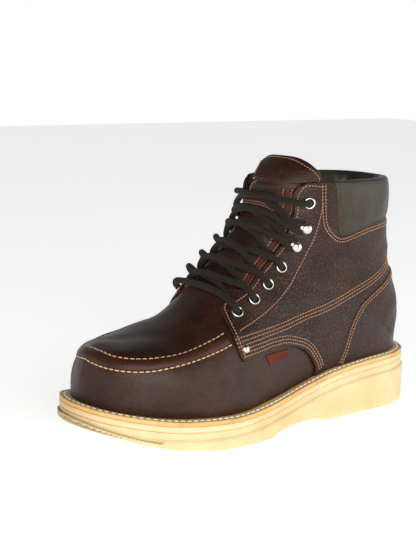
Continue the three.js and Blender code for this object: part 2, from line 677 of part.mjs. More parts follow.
const STAY_HALF = 0.105;
const STAY_MIDDLE = 0.02;
const STAY_THICKNESS = 1.3;
const STAY_TOP = 0.775;
const stayOutline = [
  [STAY_MIDDLE - STAY_HALF, -FAR],
  [STAY_MIDDLE + STAY_HALF, -FAR],
  [STAY_MIDDLE + STAY_HALF, STAY_TOP],
  [STAY_MIDDLE - STAY_HALF, STAY_TOP],
];
const stayFloor = FACE + FITTING_CLEARANCE;
const staySheet = wall(always(stayFloor + STAY_THICKNESS), always(stayFloor));
add("backstay", surface(staySheet.intersect(backBlock(stayOutline, 0, 2 * HEEL_BACK))), 0x4a3530, 0.5);

const TAB_HALF = 0.16;
const TAB_HEIGHT = 0.13;
const TAB_FOOT = 0.782;
const tabOutline = spaced(0, Math.PI, 8).map((turn) => [
  backMiddle / BALL_WIDTH + TAB_HALF * Math.cos(turn),
  TAB_FOOT + TAB_HEIGHT * Math.sin(turn),
]);
const tabSheet = wall((p) => collarOuter(p) + GAP + STAY_THICKNESS, (p) => collarOuter(p) + GAP, pastCollar);
add("back_tab", surface(tabSheet.intersect(backBlock(tabOutline, 0, 2 * HEEL_BACK))), 0x4a3530, 0.5);

// Raised moc seam round the apron, seen from above: rows from the lateral end round the toe
const MOC_RISE = 2.6;
const MOC_INNER = [[0.6535, -0.362], [0.704, -0.385], [0.777, -0.402], [0.836, -0.375], [0.889, -0.319], [0.92, -0.26],
  [0.944, -0.167], [0.958, -0.066], [0.965, 0.05], [0.958, 0.165], [0.944, 0.255], [0.92, 0.33], [0.889, 0.375],
  [0.836, 0.41], [0.777, 0.425], [0.704, 0.41], [0.6535, 0.385]];
const MOC_OUTER = [[0.6535, -0.425], [0.718, -0.453], [0.789, -0.461], [0.848, -0.43], [0.883, -0.39], [0.913, -0.333],
  [0.955, -0.219], [0.972, -0.119], [0.983, 0.008], [0.985, 0.08], [0.98, 0.16], [0.968, 0.24], [0.948, 0.32],
  [0.913, 0.4], [0.88, 0.442], [0.848, 0.465], [0.789, 0.48], [0.718, 0.465], [0.6535, 0.44]];
const mocSheet = wall(always(GAP + MOC_RISE), always(GAP));
const mocRing = planBlock([...MOC_OUTER, ...MOC_INNER.slice().reverse()], BALL_SEAT, SHAFT_HEIGHT);
add("moc_seam", surface(mocSheet.intersect(mocRing)), 0x4a3530, 0.5);

// Side tag, sewn into the quarter's lower edge on the lateral side
const TAG_THICKNESS = 1.1;
const TAG = [[0.552, 0.1235], [0.47, 0.1336], [0.471, 0.093], [0.541, 0.0657]];
const tagSheet = wall(always(GAP + TAG_THICKNESS), always(GAP));
add("side_tag", surface(tagSheet.intersect(sideBlock(TAG, -WIDE, 0))), 0x8a3a24, 0.8);

// Lace keeper, a leather band across the tongue
const KEEPER_THICKNESS = 1.4;
const keeperTop = tongueTop + GAP + KEEPER_THICKNESS;
const keeperSheet = solid(shell(always(keeperTop), always(tongueTop + GAP), tongueReach));
const KEEPER = [[0.5, 0.83], [0.35, 0.83], [0.35, 0.96], [0.5, 0.96]];
const KEEPER_ACROSS = { low: -0.1, high: 0.24 };
const keeperPlan = sideBlock(KEEPER, KEEPER_ACROSS.low * BALL_WIDTH, KEEPER_ACROSS.high * BALL_WIDTH);
add("lace_keeper", surface(keeperSheet.intersect(keeperPlan)), 0x4a3530, 0.5);

// Laces: a bar across the lowest eyelets, then crossings, each from one row of fittings to the next.
// A strand starts under one edge of the throat and ends over the fitting on the other side.
const LACE_RADIUS = 2.7;
const LACE_SIDES = 6;
const STRAND_STEPS = 5;
const STRAND_START = 0.3;
const STRAND_INSET = 0.5;
const STRAND_FALL = 2.2;
const HOOK_INSET = 0.32;
const laceSection = new THREE.Shape(
  spaced(0, 2 * Math.PI, LACE_SIDES)
    .slice(0, -1)
    .map((turn) => new THREE.Vector2(LACE_RADIUS * Math.cos(turn), LACE_RADIUS * Math.sin(turn))),
);
const overEyelet = FACE + FITTING_CLEARANCE + EYELET_RISE + LACE_RADIUS + 10 * GAP;
const overKeeper = keeperTop + 2 * GAP + LACE_RADIUS;
const overTongue = tongueTop + 3 * GAP + LACE_RADIUS;
const KEEPER_ROW = 4;

/** A strand between two places on the last: row number, share across to each side (-1 to 1) and height. */
function strand(from, to, floor) {
  const points = spaced(0, 1, 6).map((t) => {
    const across = THREE.MathUtils.lerp(from.across, to.across, t);
    const at = THREE.MathUtils.lerp(from.at, to.at, t);
    const { point, out } = standing(at, 1 - Math.abs(across), across < 0 ? LATERAL : MEDIAL);
    const fromLift = from.lift - (from.lift - floor) * STRAND_FALL * t;
    const toLift = to.lift - (to.lift - floor) * STRAND_FALL * (1 - t);
    return point.addScaledVector(out, Math.max(floor, fromLift, toLift));
  });
  const extrudePath = new THREE.CatmullRomCurve3(points);
  return new THREE.ExtrudeGeometry(laceSection, { extrudePath, steps: STRAND_STEPS });
}

/** Where a strand ends, over the fitting of a row or just short of a hook. */
function strandEnd(row, side) {
  const { at, share } = fittings[side === LATERAL ? "lateral" : "medial"][row];
  const inset = FITTINGS[row].kind === "hook" ? HOOK_INSET : 0;
  return { at, across: side * (1 - share) * (1 - inset), lift: overEyelet };
}

/** Where a strand comes out from under the throat's edge, part of the way up to the next row. */
function strandStart(row, side) {
  const places = fittings[side === LATERAL ? "lateral" : "medial"];
  const at = THREE.MathUtils.lerp(places[row].at, places[row + 1].at, STRAND_START);
  return { at, across: side * (1 - places[row].share) * STRAND_INSET, lift: row < KEEPER_ROW ? overTongue : overKeeper };
}

add("lace_bar", strand(strandEnd(0, LATERAL), strandEnd(0, MEDIAL), overTongue), 0x2f2a22, 0.9);
for (let row = 1; row < FITTINGS.length; row += 1) {
  const floor = row <= KEEPER_ROW ? overTongue : overKeeper;
  const [rising, falling] = [LATERAL, MEDIAL].map((side) => {
    return solid(strand(strandStart(row - 1, side), strandEnd(row, -side), floor));
  });
  add(`lace_crossing_${row}`, surface(rising.add(falling)), 0x2f2a22, 0.9);
}

export default boot;
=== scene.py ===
"""Looks of a left safety work boot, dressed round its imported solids.

Lengths are millimetres until a mesh is made, which turns them to metres. The toe points along -X, the
outer side of the foot is -Y and the floor is z = 0. Places on the upper are given as the boot maker
sees them: a row number of the last and a share from the feather line (0) to the top line (1).
"""

from __future__ import annotations

import logging
import math
from dataclasses import dataclass, field
from enum import Enum
from typing import Callable, Sequence

import bmesh
import bpy
import numpy as np
from mathutils import Matrix, Vector

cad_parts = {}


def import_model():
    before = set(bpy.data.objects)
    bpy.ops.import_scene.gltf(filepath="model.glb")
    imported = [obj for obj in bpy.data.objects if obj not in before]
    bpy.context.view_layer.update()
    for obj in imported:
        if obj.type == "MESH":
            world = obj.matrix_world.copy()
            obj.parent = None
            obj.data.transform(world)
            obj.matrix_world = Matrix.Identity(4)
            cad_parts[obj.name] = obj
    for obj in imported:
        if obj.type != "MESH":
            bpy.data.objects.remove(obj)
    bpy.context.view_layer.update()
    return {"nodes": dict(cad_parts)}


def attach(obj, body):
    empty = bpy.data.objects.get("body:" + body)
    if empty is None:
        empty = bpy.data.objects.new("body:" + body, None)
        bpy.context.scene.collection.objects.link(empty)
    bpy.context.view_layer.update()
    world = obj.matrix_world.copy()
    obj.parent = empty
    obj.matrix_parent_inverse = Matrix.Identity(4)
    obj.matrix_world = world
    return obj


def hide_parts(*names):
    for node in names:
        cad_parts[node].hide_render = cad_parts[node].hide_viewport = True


Array = np.ndarray
Points = Sequence[tuple[float, float]]
Triple = tuple[float, float, float]
Material = bpy.types.Material
Object = bpy.types.Object
Tree = bpy.types.NodeTree
Socket = bpy.types.NodeSocket
Node = bpy.types.Node

MM = 0.001
LAST_LENGTH = 287.0
BALL_WIDTH = 96.0
HEEL_BACK = 40.0
HEEL_SEAT = 42.5
BALL_SEAT = 22.5
TOE_SEAT = 33.0
SHAFT_HEIGHT = 138.5
TOE_SPRING = 17.5
ARCH_LIFT = 5.0
WALL = 2.2

# Sections of the last from toe to heel, in the shares that the columns name
FOOT_COLUMNS = ("along", "lat", "med", "top_along", "top_rise", "mid", "wide", "square", "square_med")
FOOT = (
    (1.0, -0.068, 0.068, 0.986, 0.134, 0.052, 0, 2.3, 2.3),
    (0.976, 0.167, 0.292, 0.97, 0.177, 0.047, 0.236, 2.5, 2.5),
    (0.923, 0.323, 0.396, 0.927, 0.206, 0.036, 0.38, 2.9, 2.9),
    (0.854, 0.443, 0.469, 0.861, 0.22, 0.03, 0.484, 3.1, 3.1),
    (0.767, 0.51, 0.49, 0.787, 0.2455, 0.028, 0.531, 3.1, 3.1),
    (0.662, 0.531, 0.448, 0.714, 0.303, 0.035, 0.521, 2.75, 2.8),
    (0.557, 0.495, 0.365, 0.662, 0.385, 0.045, 0.4635, 2.4, 3.0),
    (0.453, 0.432, 0.3125, 0.617, 0.48, 0.055, 0.415, 2.2, 3.6),
    (0.331, 0.375, 0.3125, 0.575, 0.567, 0.062, 0.388, 2.2, 4),
    (0.209, 0.354, 0.344, 0.537, 0.646, 0.066, 0.38, 2.25, 4),
    (0.101, 0.328, 0.333, 0.509, 0.711, 0.068, 0.365, 2.3, 4),
    (0.0383, 0.245, 0.25, 0.49, 0.769, 0.07, 0.354, 2.4, 4),
    (0.0105, 0.135, 0.135, 0.479, 0.805, 0.07, 0.349, 2.45, 4),
    (0, 0, 0, 0.474, 0.83, 0.07, 0.349, 2.5, 3.9),
)
# The shaft, from the heel's back up the back seam and past the collar to the tongue's top
SHAFT_COLUMNS = ("back_along", "back_rise", "back_mid") + FOOT_COLUMNS[3:]
SHAFT = (
    (-0.002, 0.105, 0, 0.4704, 0.856, 0.07, 0.349, 2.5, 3.8),
    (0, 0.213, 0, 0.4676, 0.877, 0.07, 0.349, 2.5, 3.7),
    (0.0105, 0.3285, 0.003, 0.4652, 0.899, 0.07, 0.352, 2.45, 3.6),
    (0.028, 0.451, 0.01, 0.4634, 0.921, 0.07, 0.359, 2.4, 3.5),
    (0.042, 0.574, 0.018, 0.4613, 0.942, 0.07, 0.37, 2.35, 3.4),
    (0.05, 0.697, 0.027, 0.46, 0.964, 0.07, 0.38, 2.3, 3.3),
    (0.053, 0.8195, 0.035, 0.4585, 0.982, 0.068, 0.39, 2.3, 3.2),
    (0.0535, 0.9206, 0.04, 0.457, 1.0, 0.066, 0.398, 2.3, 3.0),
    (0.052, 1.0, 0.042, 0.4564, 1.0144, 0.064, 0.402, 2.3, 2.9),
    (0.052, 1.07, 0.042, 0.425, 1.079, 0.062, 0.402, 2.3, 2.8),
    (0.052, 1.14, 0.042, 0.383, 1.144, 0.06, 0.402, 2.3, 2.8),
)
HEEL_ROW = len(FOOT) - 1
COLLAR_ROW = HEEL_ROW + 9
TONGUE_ROW = HEEL_ROW + len(SHAFT)

log = logging.getLogger("boot")


class Side(Enum):
    """A side of the left foot, with its sign along Y."""

    LATERAL = -1
    MEDIAL = 1


def to_x(along: float | Array) -> float | Array:
    """Turns a share of the last's length, from the heel's back, to an x."""
    return HEEL_BACK - along * LAST_LENGTH


def to_z(rise: float | Array) -> float | Array:
    """Turns a share of the shaft's height, over the heel seat, to a z."""
    return HEEL_SEAT + rise * SHAFT_HEIGHT


def seat(x: Array) -> Array:
    """Height of the feather line: level at the ball, a cosine wave to the heel, a parabola to the toe."""
    along = np.maximum(0, (HEEL_BACK - np.asarray(x, float)) / LAST_LENGTH)
    heel = np.where(along < 0.68, (1 + np.cos(np.pi * np.minimum(along / 0.68, 1) ** 1.42)) / 2, 0)
    toe = np.maximum(0, (along - 0.66) / 0.34) ** 2
    return BALL_SEAT + heel * (HEEL_SEAT - BALL_SEAT) + toe * (TOE_SEAT - BALL_SEAT)


def smooth_step(value: Array) -> Array:
    """Runs from 0 to 1 with level ends, 3t^2 - 2t^3."""
    t = np.clip(value, 0, 1)
    return t * t * (3 - 2 * t)


def unit(vectors: Array) -> Array:
    """Scales vectors to length 1."""
    return vectors / np.maximum(np.linalg.norm(vectors, axis=-1, keepdims=True), 1e-9)


def hermite(a: Array, b: Array, c: Array, d: Array, t: Array) -> Array:
    """Catmull-Rom value between b and c at t, a cubic with the slopes (c-a)/2 and (d-b)/2."""
    slope, next_slope, rise = (c - a) / 2, (d - b) / 2, c - b
    return b + t * (slope + t * (3 * rise - 2 * slope - next_slope + t * (slope + next_slope - 2 * rise)))


def smooth_line(points: Sequence[Sequence[float]], step: float = 0.0, count: int = 0) -> Array:
    """Even-spaced points on the smooth curve through some points.

    The curve is cubic between neighbours, with slopes from the points on both sides by chord length.

    Args:
        points: The points that the curve passes through.
        step: Distance between the new points, where count is 0.
        count: How many points to give back.

    Returns:
        The new points, a row for each.
    """
    given = np.asarray(points, float)
    chord = np.r_[0, np.cumsum(np.linalg.norm(np.diff(given, axis=0), axis=1))]
    if len(given) > 2:
        slope = np.gradient(given, chord, axis=0)
    else:
        slope = np.repeat((given[1:] - given[:1]) / chord[-1], 2, axis=0)
    at = np.linspace(0, chord[-1], 60 * len(given))
    i = np.clip(np.searchsorted(chord, at, "right") - 1, 0, len(given) - 2)
    span = (chord[i + 1] - chord[i])[:, None]
    t = (at - chord[i])[:, None] / span
    rise = given[i + 1] - given[i]
    s0, s1 = slope[i] * span, slope[i + 1] * span
    fine = given[i] + t * (s0 + t * (3 * rise - 2 * s0 - s1 + t * (s0 + s1 - 2 * rise)))
    length = np.r_[0, np.cumsum(np.linalg.norm(np.diff(fine, axis=0), axis=1))]
    number = count or max(2, int(round(length[-1] / step)) + 1)
    where = np.linspace(0, length[-1], number)
    return np.stack([np.interp(where, length, fine[:, k]) for k in range(given.shape[1])], -1)


class Last:
    """The last: the form that the upper is pulled over, as functions of whole arrays."""

    WRAP_START = 5.0
    WRAP_RADIUS = 35.0
    SEAM = WRAP_START + WRAP_RADIUS * math.pi / 2
    LEAN = 4.0

    def __init__(self) -> None:
        """Reads the tables and measures a coarse net of places to start searches from."""
        self.foot = dict(zip(FOOT_COLUMNS, np.array(FOOT).T))
        self.shaft = dict(zip(SHAFT_COLUMNS, np.array(SHAFT).T))
        lateral = np.c_[to_x(self.foot["along"][:-1]), -self.foot["lat"][:-1] * BALL_WIDTH]
        medial = np.c_[to_x(self.foot["along"][1:]), self.foot["med"][1:] * BALL_WIDTH]
        self.loop = np.vstack([lateral, medial[::-1]])
        at, share = np.meshgrid(np.linspace(0, TONGUE_ROW, 121), np.linspace(0, 1, 31), indexing="ij")
        self.net = at.ravel(), share.ravel()
        self.net_points = self.skin(*self.net, Side.LATERAL)

    @staticmethod
    def column(values: Array, at: Array) -> Array:
        """Reads a column at row numbers that may lie between rows."""
        last = len(values) - 1
        row = np.clip(np.floor(at).astype(int), 0, last - 1)
        a, b, c, d = (values[np.clip(row + k, 0, last)] for k in (-1, 0, 1, 2))
        return hermite(a, b, c, d, at - row)

    def feather(self, at: Array, side: Side) -> Array:
        """Points of the feather line, where the upper meets the welt."""
        count = len(self.loop)
        turn = at if side is Side.LATERAL else count - at
        row = np.floor(turn).astype(int)
        a, b, c, d = (self.loop[(row + k) % count] for k in (-1, 0, 1, 2))
        plan = hermite(a, b, c, d, (turn - row)[..., None])
        return np.concatenate([plan, seat(plan[..., :1])], -1)

    def skin(self, at: Array, share: Array, side: Side) -> Array:
        """Points of the last.

        A section is a superellipse from the feather line, or from the back seam above the heel, up to
        the top line. Its share runs as the ellipse's angle.

        Args:
            at: Row numbers.
            share: Shares from the feather line or back seam (0) to the top line (1).
            side: The side of the foot.

        Returns:
            The points, with x, y and z last.
        """
        at, share = np.broadcast_arrays(np.asarray(at, float), np.asarray(share, float))
        on_foot = (at <= HEEL_ROW)[..., None]
        foot_at, up = np.minimum(at, HEEL_ROW), np.maximum(at - HEEL_ROW, 0)
        opposite = Side(-side.value)
        seam = np.stack(
            [
                to_x(self.column(np.r_[0, self.shaft["back_along"]], up)),
                self.column(np.r_[0, self.shaft["back_mid"]], up) * BALL_WIDTH,
                to_z(self.column(np.r_[0, self.shaft["back_rise"]], up)),
            ],
            -1,
        )
        base = np.where(on_foot, self.feather(foot_at, side), seam)
        other = np.where(on_foot, self.feather(foot_at, opposite), seam)
        middle, base_half = (base[..., 1] + other[..., 1]) / 2, np.abs(base[..., 1] - other[..., 1]) / 2
        square_name = "square" if side is Side.LATERAL else "square_med"
        names = ("top_along", "top_rise", "mid", "wide", square_name)
        joined = (np.r_[self.foot[name], self.shaft[name]] for name in names)
        top_along, top_rise, mid, wide, square = (self.column(values, at) for values in joined)
        half = np.maximum(wide * BALL_WIDTH, base_half)
        ratio = np.clip(base_half / np.maximum(half, 1e-9), 0, 1)
        start = -np.arccos(ratio ** (square / 2))
        angle = start + share * (np.pi / 2 - start)
        rise, first = (np.sign(np.sin(a)) * np.abs(np.sin(a)) ** (2 / square) for a in (angle, start))
        climb = (rise - first) / (1 - first)
        spread = half * np.abs(np.cos(angle)) ** (2 / square)
        return np.stack(
            [
                base[..., 0] + (to_x(top_along) - base[..., 0]) * climb,
                middle + (mid * BALL_WIDTH - middle) * climb + side.value * spread,
                base[..., 2] + (to_z(top_rise) - base[..., 2]) * climb,
            ],
            -1,
        )

    def out(self, at: Array, share: Array, side: Side) -> Array:
        """Outward directions, the cross product of two small steps on the surface."""
        at, share = np.broadcast_arrays(np.asarray(at, float), np.asarray(share, float))
        step, climb = 0.06, 0.012
        along = self.skin(np.minimum(at + step, TONGUE_ROW), share, side)
        along -= self.skin(np.maximum(at - step, 0), share, side)
        low, high = np.maximum(share - climb, 0), np.minimum(share + climb, 1)
        up = self.skin(at, high, side) - self.skin(at, low, side)
        return unit(np.cross(along, up)) * -side.value

    def wrap(self, points: Array) -> Array:
        """Chart of the lateral side: length walked along the foot and round the heel, and height."""
        lean = self.LEAN * (points[..., 2] - HEEL_SEAT) / SHAFT_HEIGHT
        beside = lean - points[..., 1]
        round_heel = self.WRAP_RADIUS * np.arctan2(points[..., 0] - self.WRAP_START, beside)
        walked = np.where(points[..., 0] > self.WRAP_START, self.WRAP_START + round_heel, points[..., 0])
        return np.stack([walked, points[..., 2]], -1)

    def search(self, targets: Array) -> tuple[Array, Array]:
        """Finds the rows and shares of places in the lateral side's chart.

        It starts from the nearest point of the coarse net and takes Newton steps with measured slopes.

        Args:
            targets: Walked lengths and heights, last.

        Returns:
            Row numbers and shares.
        """
        wanted = np.asarray(targets, float).reshape(-1, 2)
        known = self.wrap(self.net_points)
        parts = np.array_split(wanted, max(1, len(wanted) // 1500))
        nearest = np.concatenate(
            [np.argmin(((part[:, None] - known[None]) ** 2).sum(-1), 1) for part in parts]
        )
        at, share = self.net[0][nearest].copy(), self.net[1][nearest].copy()
        step, climb = 0.01, 0.002
        for _ in range(9):
            here = self.wrap(self.skin(at, share, Side.LATERAL))
            step_at = np.where(at + step > TONGUE_ROW, -step, step)
            step_share = np.where(share + climb > 1, -climb, climb)
            by_at = (self.wrap(self.skin(at + step_at, share, Side.LATERAL)) - here) / step_at[:, None]
            above = self.wrap(self.skin(at, share + step_share, Side.LATERAL))
            by_share = (above - here) / step_share[:, None]
            miss = wanted - here
            det = by_at[:, 0] * by_share[:, 1] - by_at[:, 1] * by_share[:, 0]
            det = np.where(np.abs(det) < 1e-3, 1e-3, det)
            move_at = (miss[:, 0] * by_share[:, 1] - miss[:, 1] * by_share[:, 0]) / det
            move_share = (by_at[:, 0] * miss[:, 1] - by_at[:, 1] * miss[:, 0]) / det
            at = np.clip(at + np.clip(move_at, -0.4, 0.4), 0, TONGUE_ROW)
            share = np.clip(share + np.clip(move_share, -0.05, 0.05), 0, 1)
        shape = np.asarray(targets).shape[:-1]
        return at.reshape(shape), share.reshape(shape)

    def place(self, at: Array, share: Array, side: Side) -> tuple[Array, Array]:
        """Points and outward directions at rows and shares."""
        return self.skin(at, share, side), self.out(at, share, side)

    def on_wrap(self, places: Array, side: Side | None = None) -> tuple[Array, Array]:
        """Points and outward directions at places of the chart.

        A medial place has the row and share of its lateral twin. Past the back seam the walked length
        goes on round the medial side, where no side is given.

        Args:
            places: Walked lengths and heights, last.
            side: The side that all of them lie on, or None.

        Returns:
            Points and outward directions.
        """
        places = np.array(places, float)
        beyond = np.full(places.shape[:-1], side is Side.MEDIAL) if side else places[..., 0] > self.SEAM
        if side is None:
            places[..., 0] = np.where(beyond, 2 * self.SEAM - places[..., 0], places[..., 0])
        at, share = self.search(places)
        points, outs = self.place(at, share, Side.LATERAL)
        points[beyond], outs[beyond] = self.place(at[beyond], share[beyond], Side.MEDIAL)
        return points, outs

    def across(self, at: Array, across: Array) -> tuple[Array, Array]:
        """Points and outward directions at rows and signed shares from the top line, medial ones over 0."""
        at, across = np.broadcast_arrays(np.asarray(at, float), np.asarray(across, float))
        points, outs = self.place(at, 1 - np.abs(across), Side.LATERAL)
        medial = across > 0
        points[medial], outs[medial] = self.place(at[medial], 1 - across[medial], Side.MEDIAL)
        return points, outs

    def rim(self, at: Array, side: Side, out: float | Array) -> Array:
        """Points of the feather line moved outwards in plan by a distance."""
        at = np.asarray(at, float)
        step = 0.02
        opposite = Side(-side.value)
        early = (at < step)[:, None]
        before = np.where(early, self.feather(step - at, opposite), self.feather(at - step, side))
        beyond = (at + step > HEEL_ROW)[:, None]
        mirrored = self.feather(2 * HEEL_ROW - at - step, opposite)
        after = np.where(beyond, mirrored, self.feather(np.minimum(at + step, HEEL_ROW), side))
        along = unit((after - before)[:, :2])
        point = self.feather(at, side)
        point[:, 0] -= along[:, 1] * out * side.value
        point[:, 1] += along[:, 0] * out * side.value
        point[:, 2] = seat(point[:, 0])
        return point

    def even_rows(self, side: Side, count: int) -> Array:
        """Row numbers spaced evenly along the feather line of a side."""
        at = np.linspace(0, HEEL_ROW, 1500)
        points = self.feather(at, side)
        length = np.r_[0, np.cumsum(np.linalg.norm(np.diff(points, axis=0), axis=1))]
        return np.interp(np.linspace(0, length[-1], count), length, at)


LAST = Last()


@dataclass(frozen=True)
class Fold:
    """A soft trough in the leather, with ridges beside it.

    Attributes:
        side: The side of the foot that it lies on.
        places: Its line in the wrap chart.
        depth: Depth of the trough in mm.
        width: Distance from the trough's middle to where it has risen by about two thirds, in mm.
    """

    side: Side
    places: Points
    depth: float
    width: float


FOLDS = (
    Fold(Side.LATERAL, ((-158, 74), (-152, 60), (-150, 46), (-156, 34)), 0.45, 5.5),
    Fold(Side.LATERAL, ((-176, 72), (-171, 58), (-170, 44)), 0.3, 6.0),
    Fold(Side.LATERAL, ((-112, 92), (-96, 84), (-78, 80), (-58, 84)), 0.9, 5.5),
    Fold(Side.LATERAL, ((-78, 112), (-58, 104), (-34, 102), (-10, 108)), 1.0, 6.5),
    Fold(Side.LATERAL, ((-62, 134), (-44, 124), (-18, 120), (8, 124)), 0.8, 5.5),
    Fold(Side.LATERAL, ((-30, 88), (-8, 84), (14, 86), (34, 96)), 0.7, 6.0),
    Fold(Side.LATERAL, ((50, 122), (34, 116), (14, 116)), 0.9, 5.0),
    Fold(Side.LATERAL, ((52, 138), (38, 133), (22, 134)), 0.6, 4.5),
    Fold(Side.MEDIAL, ((-160, 76), (-152, 60), (-152, 44)), 0.9, 4.5),
    Fold(Side.MEDIAL, ((-110, 92), (-92, 82), (-72, 78), (-50, 82)), 0.9, 5.5),
    Fold(Side.MEDIAL, ((-80, 114), (-56, 104), (-30, 101), (-8, 108)), 1.0, 6.5),
    Fold(Side.MEDIAL, ((-60, 134), (-40, 124), (-14, 121), (10, 126)), 0.8, 5.5),
    Fold(Side.MEDIAL, ((48, 126), (32, 119), (12, 118)), 0.9, 5.0),
)


class Relief:
    """The soft shape of worn leather: folds given one by one, and slow waves."""

    WAVES = (
        (0.35, (0.071, 0.043, 0.086), 0.4),
        (0.28, (-0.052, 0.09, 0.11), 2.1),
        (0.2, (0.16, -0.07, 0.13), 4.4),
        (0.12, (0.21, 0.19, -0.24), 1.3),
    )

    def __init__(self) -> None:
        """Lays each fold's line on the last."""
        self.lines = []
        for fold in FOLDS:
            line, _ = LAST.on_wrap(smooth_line(fold.places, step=2.0), fold.side)
            self.lines.append((fold, line))

    def height(self, points: Array) -> Array:
        """Height over the last at some points.

        A fold is a Gaussian trough between two lower Gaussian ridges, and fades towards its ends. The
        waves are sines of a point's place along a slanted direction.

        Args:
            points: Points on the last, with x, y and z last.

        Returns:
            Heights in mm.
        """
        flat = points.reshape(-1, 3)
        total = sum(size * np.sin(flat @ np.array(way) + start) for size, way, start in self.WAVES)
        for fold, line in self.lines:
            low, high = line.min(0) - 5 * fold.width, line.max(0) + 5 * fold.width
            near = np.flatnonzero(((flat > low) & (flat < high)).all(1))
            if not len(near):
                continue
            gaps = np.linalg.norm(flat[near][:, None] - line[None], axis=-1)
            index = gaps.argmin(1)
            gap = gaps[np.arange(len(near)), index] / fold.width
            fade = np.sin(np.pi * (index + 0.5) / len(line)) ** 0.6
            total[near] += fold.depth * fade * (0.45 * np.exp(-((gap - 2.1) ** 2)) - np.exp(-(gap**2)))
        return total.reshape(points.shape[:-1])


RELIEF = Relief()


def lifted(points: Array, outs: Array, lift: float | Array, soft: float = 1.0) -> Array:
    """Moves points of the last outwards by a height and by the leather's relief."""
    height = np.asarray(lift) + soft * RELIEF.height(points)
    return points + outs * height[..., None]


def grid_faces(
    rows: int, columns: int, close_rows: bool = False, close_columns: bool = False, first: int = 0
) -> Array:
    """Four-cornered faces of a grid of points stored row by row.

    Args:
        rows: Number of rows.
        columns: Number of columns.
        close_rows: Whether the last row joins the first.
        close_columns: Whether the last column joins the first.
        first: Number of the grid's first point.

    Returns:
        Faces, as rows of four point numbers, whose front is on the side of row step cross column step.
    """
    i = np.arange(rows if close_rows else rows - 1)[:, None]
    j = np.arange(columns if close_columns else columns - 1)[None]
    next_i, next_j = (i + 1) % rows, (j + 1) % columns
    corners = (i * columns + j, next_i * columns + j, next_i * columns + next_j, i * columns + next_j)
    return first + np.stack(np.broadcast_arrays(*corners), -1).reshape(-1, 4)


def slab_faces(rows: int, columns: int) -> Array:
    """Faces of a closed sheet: a top grid, a bottom grid after it, and walls round its border."""
    size = rows * columns
    top = grid_faces(rows, columns)
    bottom = grid_faces(rows, columns, first=size)[:, ::-1]
    number = np.arange(size).reshape(rows, columns)
    border = np.r_[number[0, :], number[1:, -1], number[-1, -2::-1], number[-2:0:-1, 0]]
    following = np.roll(border, -1)
    wall = np.stack([border, following, following + size, border + size], -1)
    return np.vstack([top, bottom, wall])


@dataclass
class Piece:
    """A new mesh piece of the boot.

    Attributes:
        name: Its name.
        points: Its points in mm.
        faces: Its faces, as rows of point numbers.
        materials: Its materials.
        replaces: The solids that it stands for.
        slot: Not used by build.
        which: The material number of each face, where there are several.
        values: Named numbers for each point, which materials read.
        weld: Distance in mm under which points are joined, or 0.
        fix_normals: Whether the faces are turned outwards after welding.
    """

    name: str
    points: Array
    faces: Array | list
    materials: list
    replaces: tuple[str, ...] = ()
    slot: str = ""
    which: Array | None = None
    values: dict[str, Array] = field(default_factory=dict)
    weld: float = 0.0
    fix_normals: bool = False

    def build(self) -> Object:
        """Makes the Blender object and parents it to the root body's empty."""
        mesh = bpy.data.meshes.new(self.name)
        faces = self.faces.tolist() if isinstance(self.faces, np.ndarray) else self.faces
        mesh.from_pydata((np.asarray(self.points) * MM).tolist(), [], faces)
        for name, numbers in self.values.items():
            attribute = mesh.attributes.new(name, "FLOAT", "POINT")
            attribute.data.foreach_set("value", np.asarray(numbers, np.float32).ravel())
        for material in self.materials:
            mesh.materials.append(material)
        if self.which is not None:
            mesh.polygons.foreach_set("material_index", self.which.astype(np.int32))
        mesh.polygons.foreach_set("use_smooth", np.ones(len(mesh.polygons), bool))
        if self.weld or self.fix_normals:
            work = bmesh.new()
            work.from_mesh(mesh)
            if self.weld:
                bmesh.ops.remove_doubles(work, verts=work.verts, dist=self.weld * MM)
            if self.fix_normals:
                bmesh.ops.recalc_face_normals(work, faces=work.faces)
            work.to_mesh(mesh)
            work.free()
        mesh.validate()
        mesh.update()
        shown = bpy.data.objects.new(self.name, mesh)
        bpy.context.scene.collection.objects.link(shown)
        if self.replaces:
            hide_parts(*self.replaces)
        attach(shown, "root")
        log.info("%s: %d faces", self.name, len(mesh.polygons))
        return shown


def graded(count: int, ends: float = 0.13) -> Array:
    """Numbers from 0 to 1 that lie closer together near both ends, t - ends * sin(2 pi t)."""
    t = np.linspace(0, 1, count)
    return t - ends * np.sin(2 * np.pi * t)


def edge_distance(grid: Array) -> Array:
    """Distance of each point of a grid to the grid's border."""
    border = np.vstack([grid[0], grid[1:, -1], grid[-1, ::-1], grid[1:, 0]])
    flat = grid.reshape(-1, 3)
    parts = np.array_split(flat, max(1, len(flat) // 1500))
    least = [np.sqrt(((part[:, None] - border[None]) ** 2).sum(-1).min(1)) for part in parts]
    return np.concatenate(least).reshape(grid.shape[:-1])


def rolled(distance: Array, thickness: float, roll: float) -> Array:
    """Height of a sheet whose edge is rounded: a quarter circle of radius roll from the border inwards."""
    near = np.clip(distance / roll, 0, 1)
    return thickness - roll * (1 - np.sqrt(1 - (1 - near) ** 2))


@dataclass
class Edge:
    """One long edge of a panel: smooth runs that meet at corners.

    Attributes:
        runs: For each run, where it starts and ends along the panel (0 to 1), and its places.
    """

    runs: Sequence[tuple[float, float, Points]]

    def at(self, u: Array) -> Array:
        """Places of the edge at some shares of the panel's length."""
        places = np.empty((len(u), 2))
        for first, last, points in self.runs:
            line = smooth_line(points, count=400)
            inside = (u >= first - 1e-9) & (u <= last + 1e-9)
            t = (u[inside] - first) / (last - first) * (len(line) - 1)
            places[inside] = np.stack([np.interp(t, np.arange(len(line)), line[:, k]) for k in range(2)], -1)
        return places


